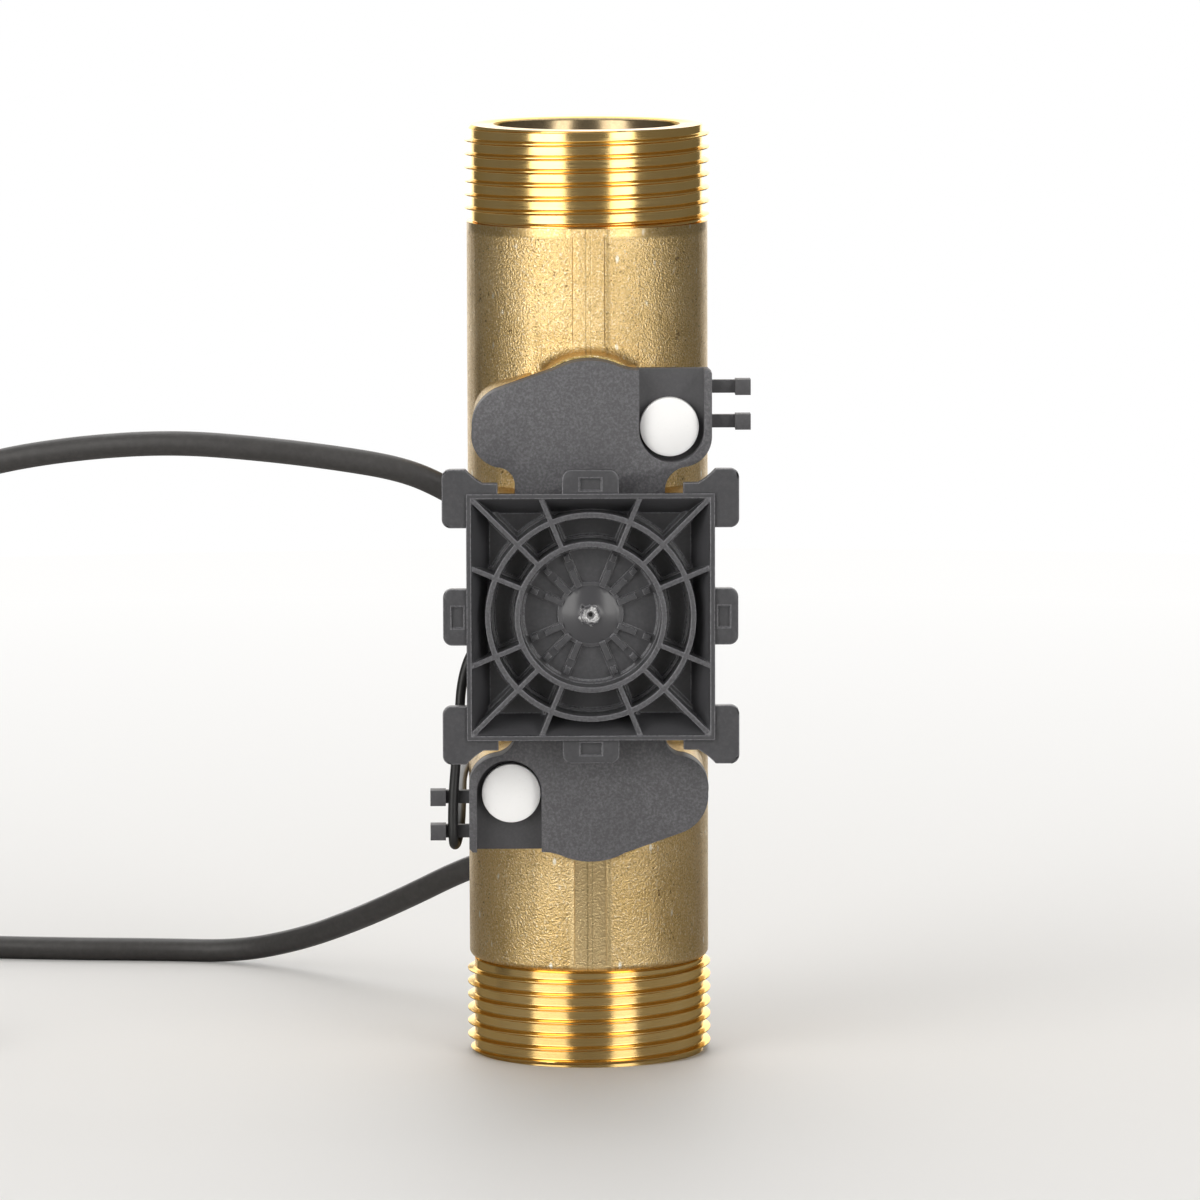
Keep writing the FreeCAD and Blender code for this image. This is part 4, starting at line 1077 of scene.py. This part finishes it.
class HeatMeterOptions(bpy.types.PropertyGroup):
    """Sizes and colours that a user would change."""

    thread_diameter: bpy.props.FloatProperty(
        name="Thread Diameter", description="Diameter over the crests of both pipe threads",
        default=0.04188, min=0.01, unit="LENGTH")
    thread_depth: bpy.props.FloatProperty(
        name="Thread Depth", description="Height of the thread from root to crest",
        default=0.0012, min=0.0002, unit="LENGTH")
    thread_pitch: bpy.props.FloatProperty(
        name="Thread Pitch", description="Distance between two crests",
        default=0.002309, min=0.0005, unit="LENGTH")
    cable_diameter: bpy.props.FloatProperty(
        name="Cable Diameter", description="Outer diameter of both round cables",
        default=0.0042, min=0.001, unit="LENGTH")
    lead_diameter: bpy.props.FloatProperty(
        name="Lead Diameter", description="Outer diameter of the thin lead",
        default=0.0017, min=0.0005, unit="LENGTH")
    signal_length: bpy.props.FloatProperty(
        name="Signal Cable Length", description="Whole length of the upper cable",
        default=1.04, min=0.2, unit="LENGTH")
    sensor_length: bpy.props.FloatProperty(
        name="Sensor Cable Length", description="Whole length of the lower cable",
        default=0.98, min=0.2, unit="LENGTH")
    cover_colour: bpy.props.FloatVectorProperty(
        name="Cover Colour", description="Grey of the sensor cover", subtype="COLOR",
        default=(0.085, 0.084, 0.090), min=0.0, max=1.0)
    adapter_colour: bpy.props.FloatVectorProperty(
        name="Adapter Colour", description="Grey of the ribbed adapter", subtype="COLOR",
        default=(0.066, 0.066, 0.071), min=0.0, max=1.0)
    cable_colour: bpy.props.FloatVectorProperty(
        name="Cable Colour", description="Colour of the cable sheaths", subtype="COLOR",
        default=(0.040, 0.038, 0.037), min=0.0, max=1.0)


class HEATMETER_OT_stage(bpy.types.Operator):
    """Adds the floor, lamp, world and camera"""

    bl_idname = "heatmeter.stage"
    bl_label = "Stage"
    bl_options = {"REGISTER", "UNDO"}

    def execute(self, context):
        add_stage()
        return {"FINISHED"}


class HEATMETER_OT_body(bpy.types.Operator):
    """Adds the brass casting with its two threads"""

    bl_idname = "heatmeter.body"
    bl_label = "Brass Body"
    bl_options = {"REGISTER", "UNDO"}

    def execute(self, context):
        add_body(context.scene.heat_meter)
        return {"FINISHED"}


class HEATMETER_OT_insert(bpy.types.Operator):
    """Finishes the inner pieces and adds the header pins"""

    bl_idname = "heatmeter.insert"
    bl_label = "Insert and Transducers"
    bl_options = {"REGISTER", "UNDO"}

    def execute(self, context):
        add_insert()
        return {"FINISHED"}


class HEATMETER_OT_cover(bpy.types.Operator):
    """Adds the cover and its sealing caps"""

    bl_idname = "heatmeter.cover"
    bl_label = "Sensor Cover"
    bl_options = {"REGISTER", "UNDO"}

    def execute(self, context):
        add_cover()
        return {"FINISHED"}


class HEATMETER_OT_adapter(bpy.types.Operator):
    """Adds the adapter for the calculator"""

    bl_idname = "heatmeter.adapter"
    bl_label = "Ribbed Adapter"
    bl_options = {"REGISTER", "UNDO"}

    def execute(self, context):
        add_adapter()
        return {"FINISHED"}


class HEATMETER_OT_probe(bpy.types.Operator):
    """Adds the probe in the back of the pipe"""

    bl_idname = "heatmeter.probe"
    bl_label = "Temperature Probe"
    bl_options = {"REGISTER", "UNDO"}

    def execute(self, context):
        add_probe()
        return {"FINISHED"}


class HEATMETER_OT_signal_cable(bpy.types.Operator):
    """Adds the upper cable and its plug"""

    bl_idname = "heatmeter.signal_cable"
    bl_label = "Signal Cable"
    bl_options = {"REGISTER", "UNDO"}

    def execute(self, context):
        add_signal_cable(context.scene.heat_meter)
        return {"FINISHED"}


class HEATMETER_OT_sensor_cable(bpy.types.Operator):
    """Adds the lower cable and its sensor"""

    bl_idname = "heatmeter.sensor_cable"
    bl_label = "Sensor Cable"
    bl_options = {"REGISTER", "UNDO"}

    def execute(self, context):
        add_sensor_cable(context.scene.heat_meter)
        return {"FINISHED"}


class HEATMETER_OT_lead(bpy.types.Operator):
    """Adds the lead over the hooks"""

    bl_idname = "heatmeter.lead"
    bl_label = "Thin Lead"
    bl_options = {"REGISTER", "UNDO"}

    def execute(self, context):
        add_lead(context.scene.heat_meter)
        return {"FINISHED"}


OPERATORS = (
    HEATMETER_OT_stage, HEATMETER_OT_body, HEATMETER_OT_insert, HEATMETER_OT_cover,
    HEATMETER_OT_adapter, HEATMETER_OT_probe, HEATMETER_OT_signal_cable,
    HEATMETER_OT_sensor_cable, HEATMETER_OT_lead,
)


class HEATMETER_PT_panel(bpy.types.Panel):
    """Lists the pieces in the 3D view's sidebar."""

    bl_label = "Heat Meter"
    bl_space_type = "VIEW_3D"
    bl_region_type = "UI"
    bl_category = "Heat Meter"

    def draw(self, context):
        for name in HeatMeterOptions.__annotations__:
            self.layout.prop(context.scene.heat_meter, name)
        for entry in OPERATORS:
            self.layout.operator(entry.bl_idname)


CLASSES = (HeatMeterOptions, *OPERATORS, HEATMETER_PT_panel)


def register():
    for entry in CLASSES:
        bpy.utils.register_class(entry)
    bpy.types.Scene.heat_meter = bpy.props.PointerProperty(type=HeatMeterOptions)


def unregister():
    del bpy.types.Scene.heat_meter
    for entry in reversed(CLASSES):
        bpy.utils.unregister_class(entry)


def main():
    """Builds the whole scene."""
    register()
    MATERIALS.update(make_materials(bpy.context.scene.heat_meter))
    for entry in OPERATORS:
        group, name = entry.bl_idname.split(".")
        getattr(getattr(bpy.ops, group), name)()


if __name__ == "__main__":
    main()
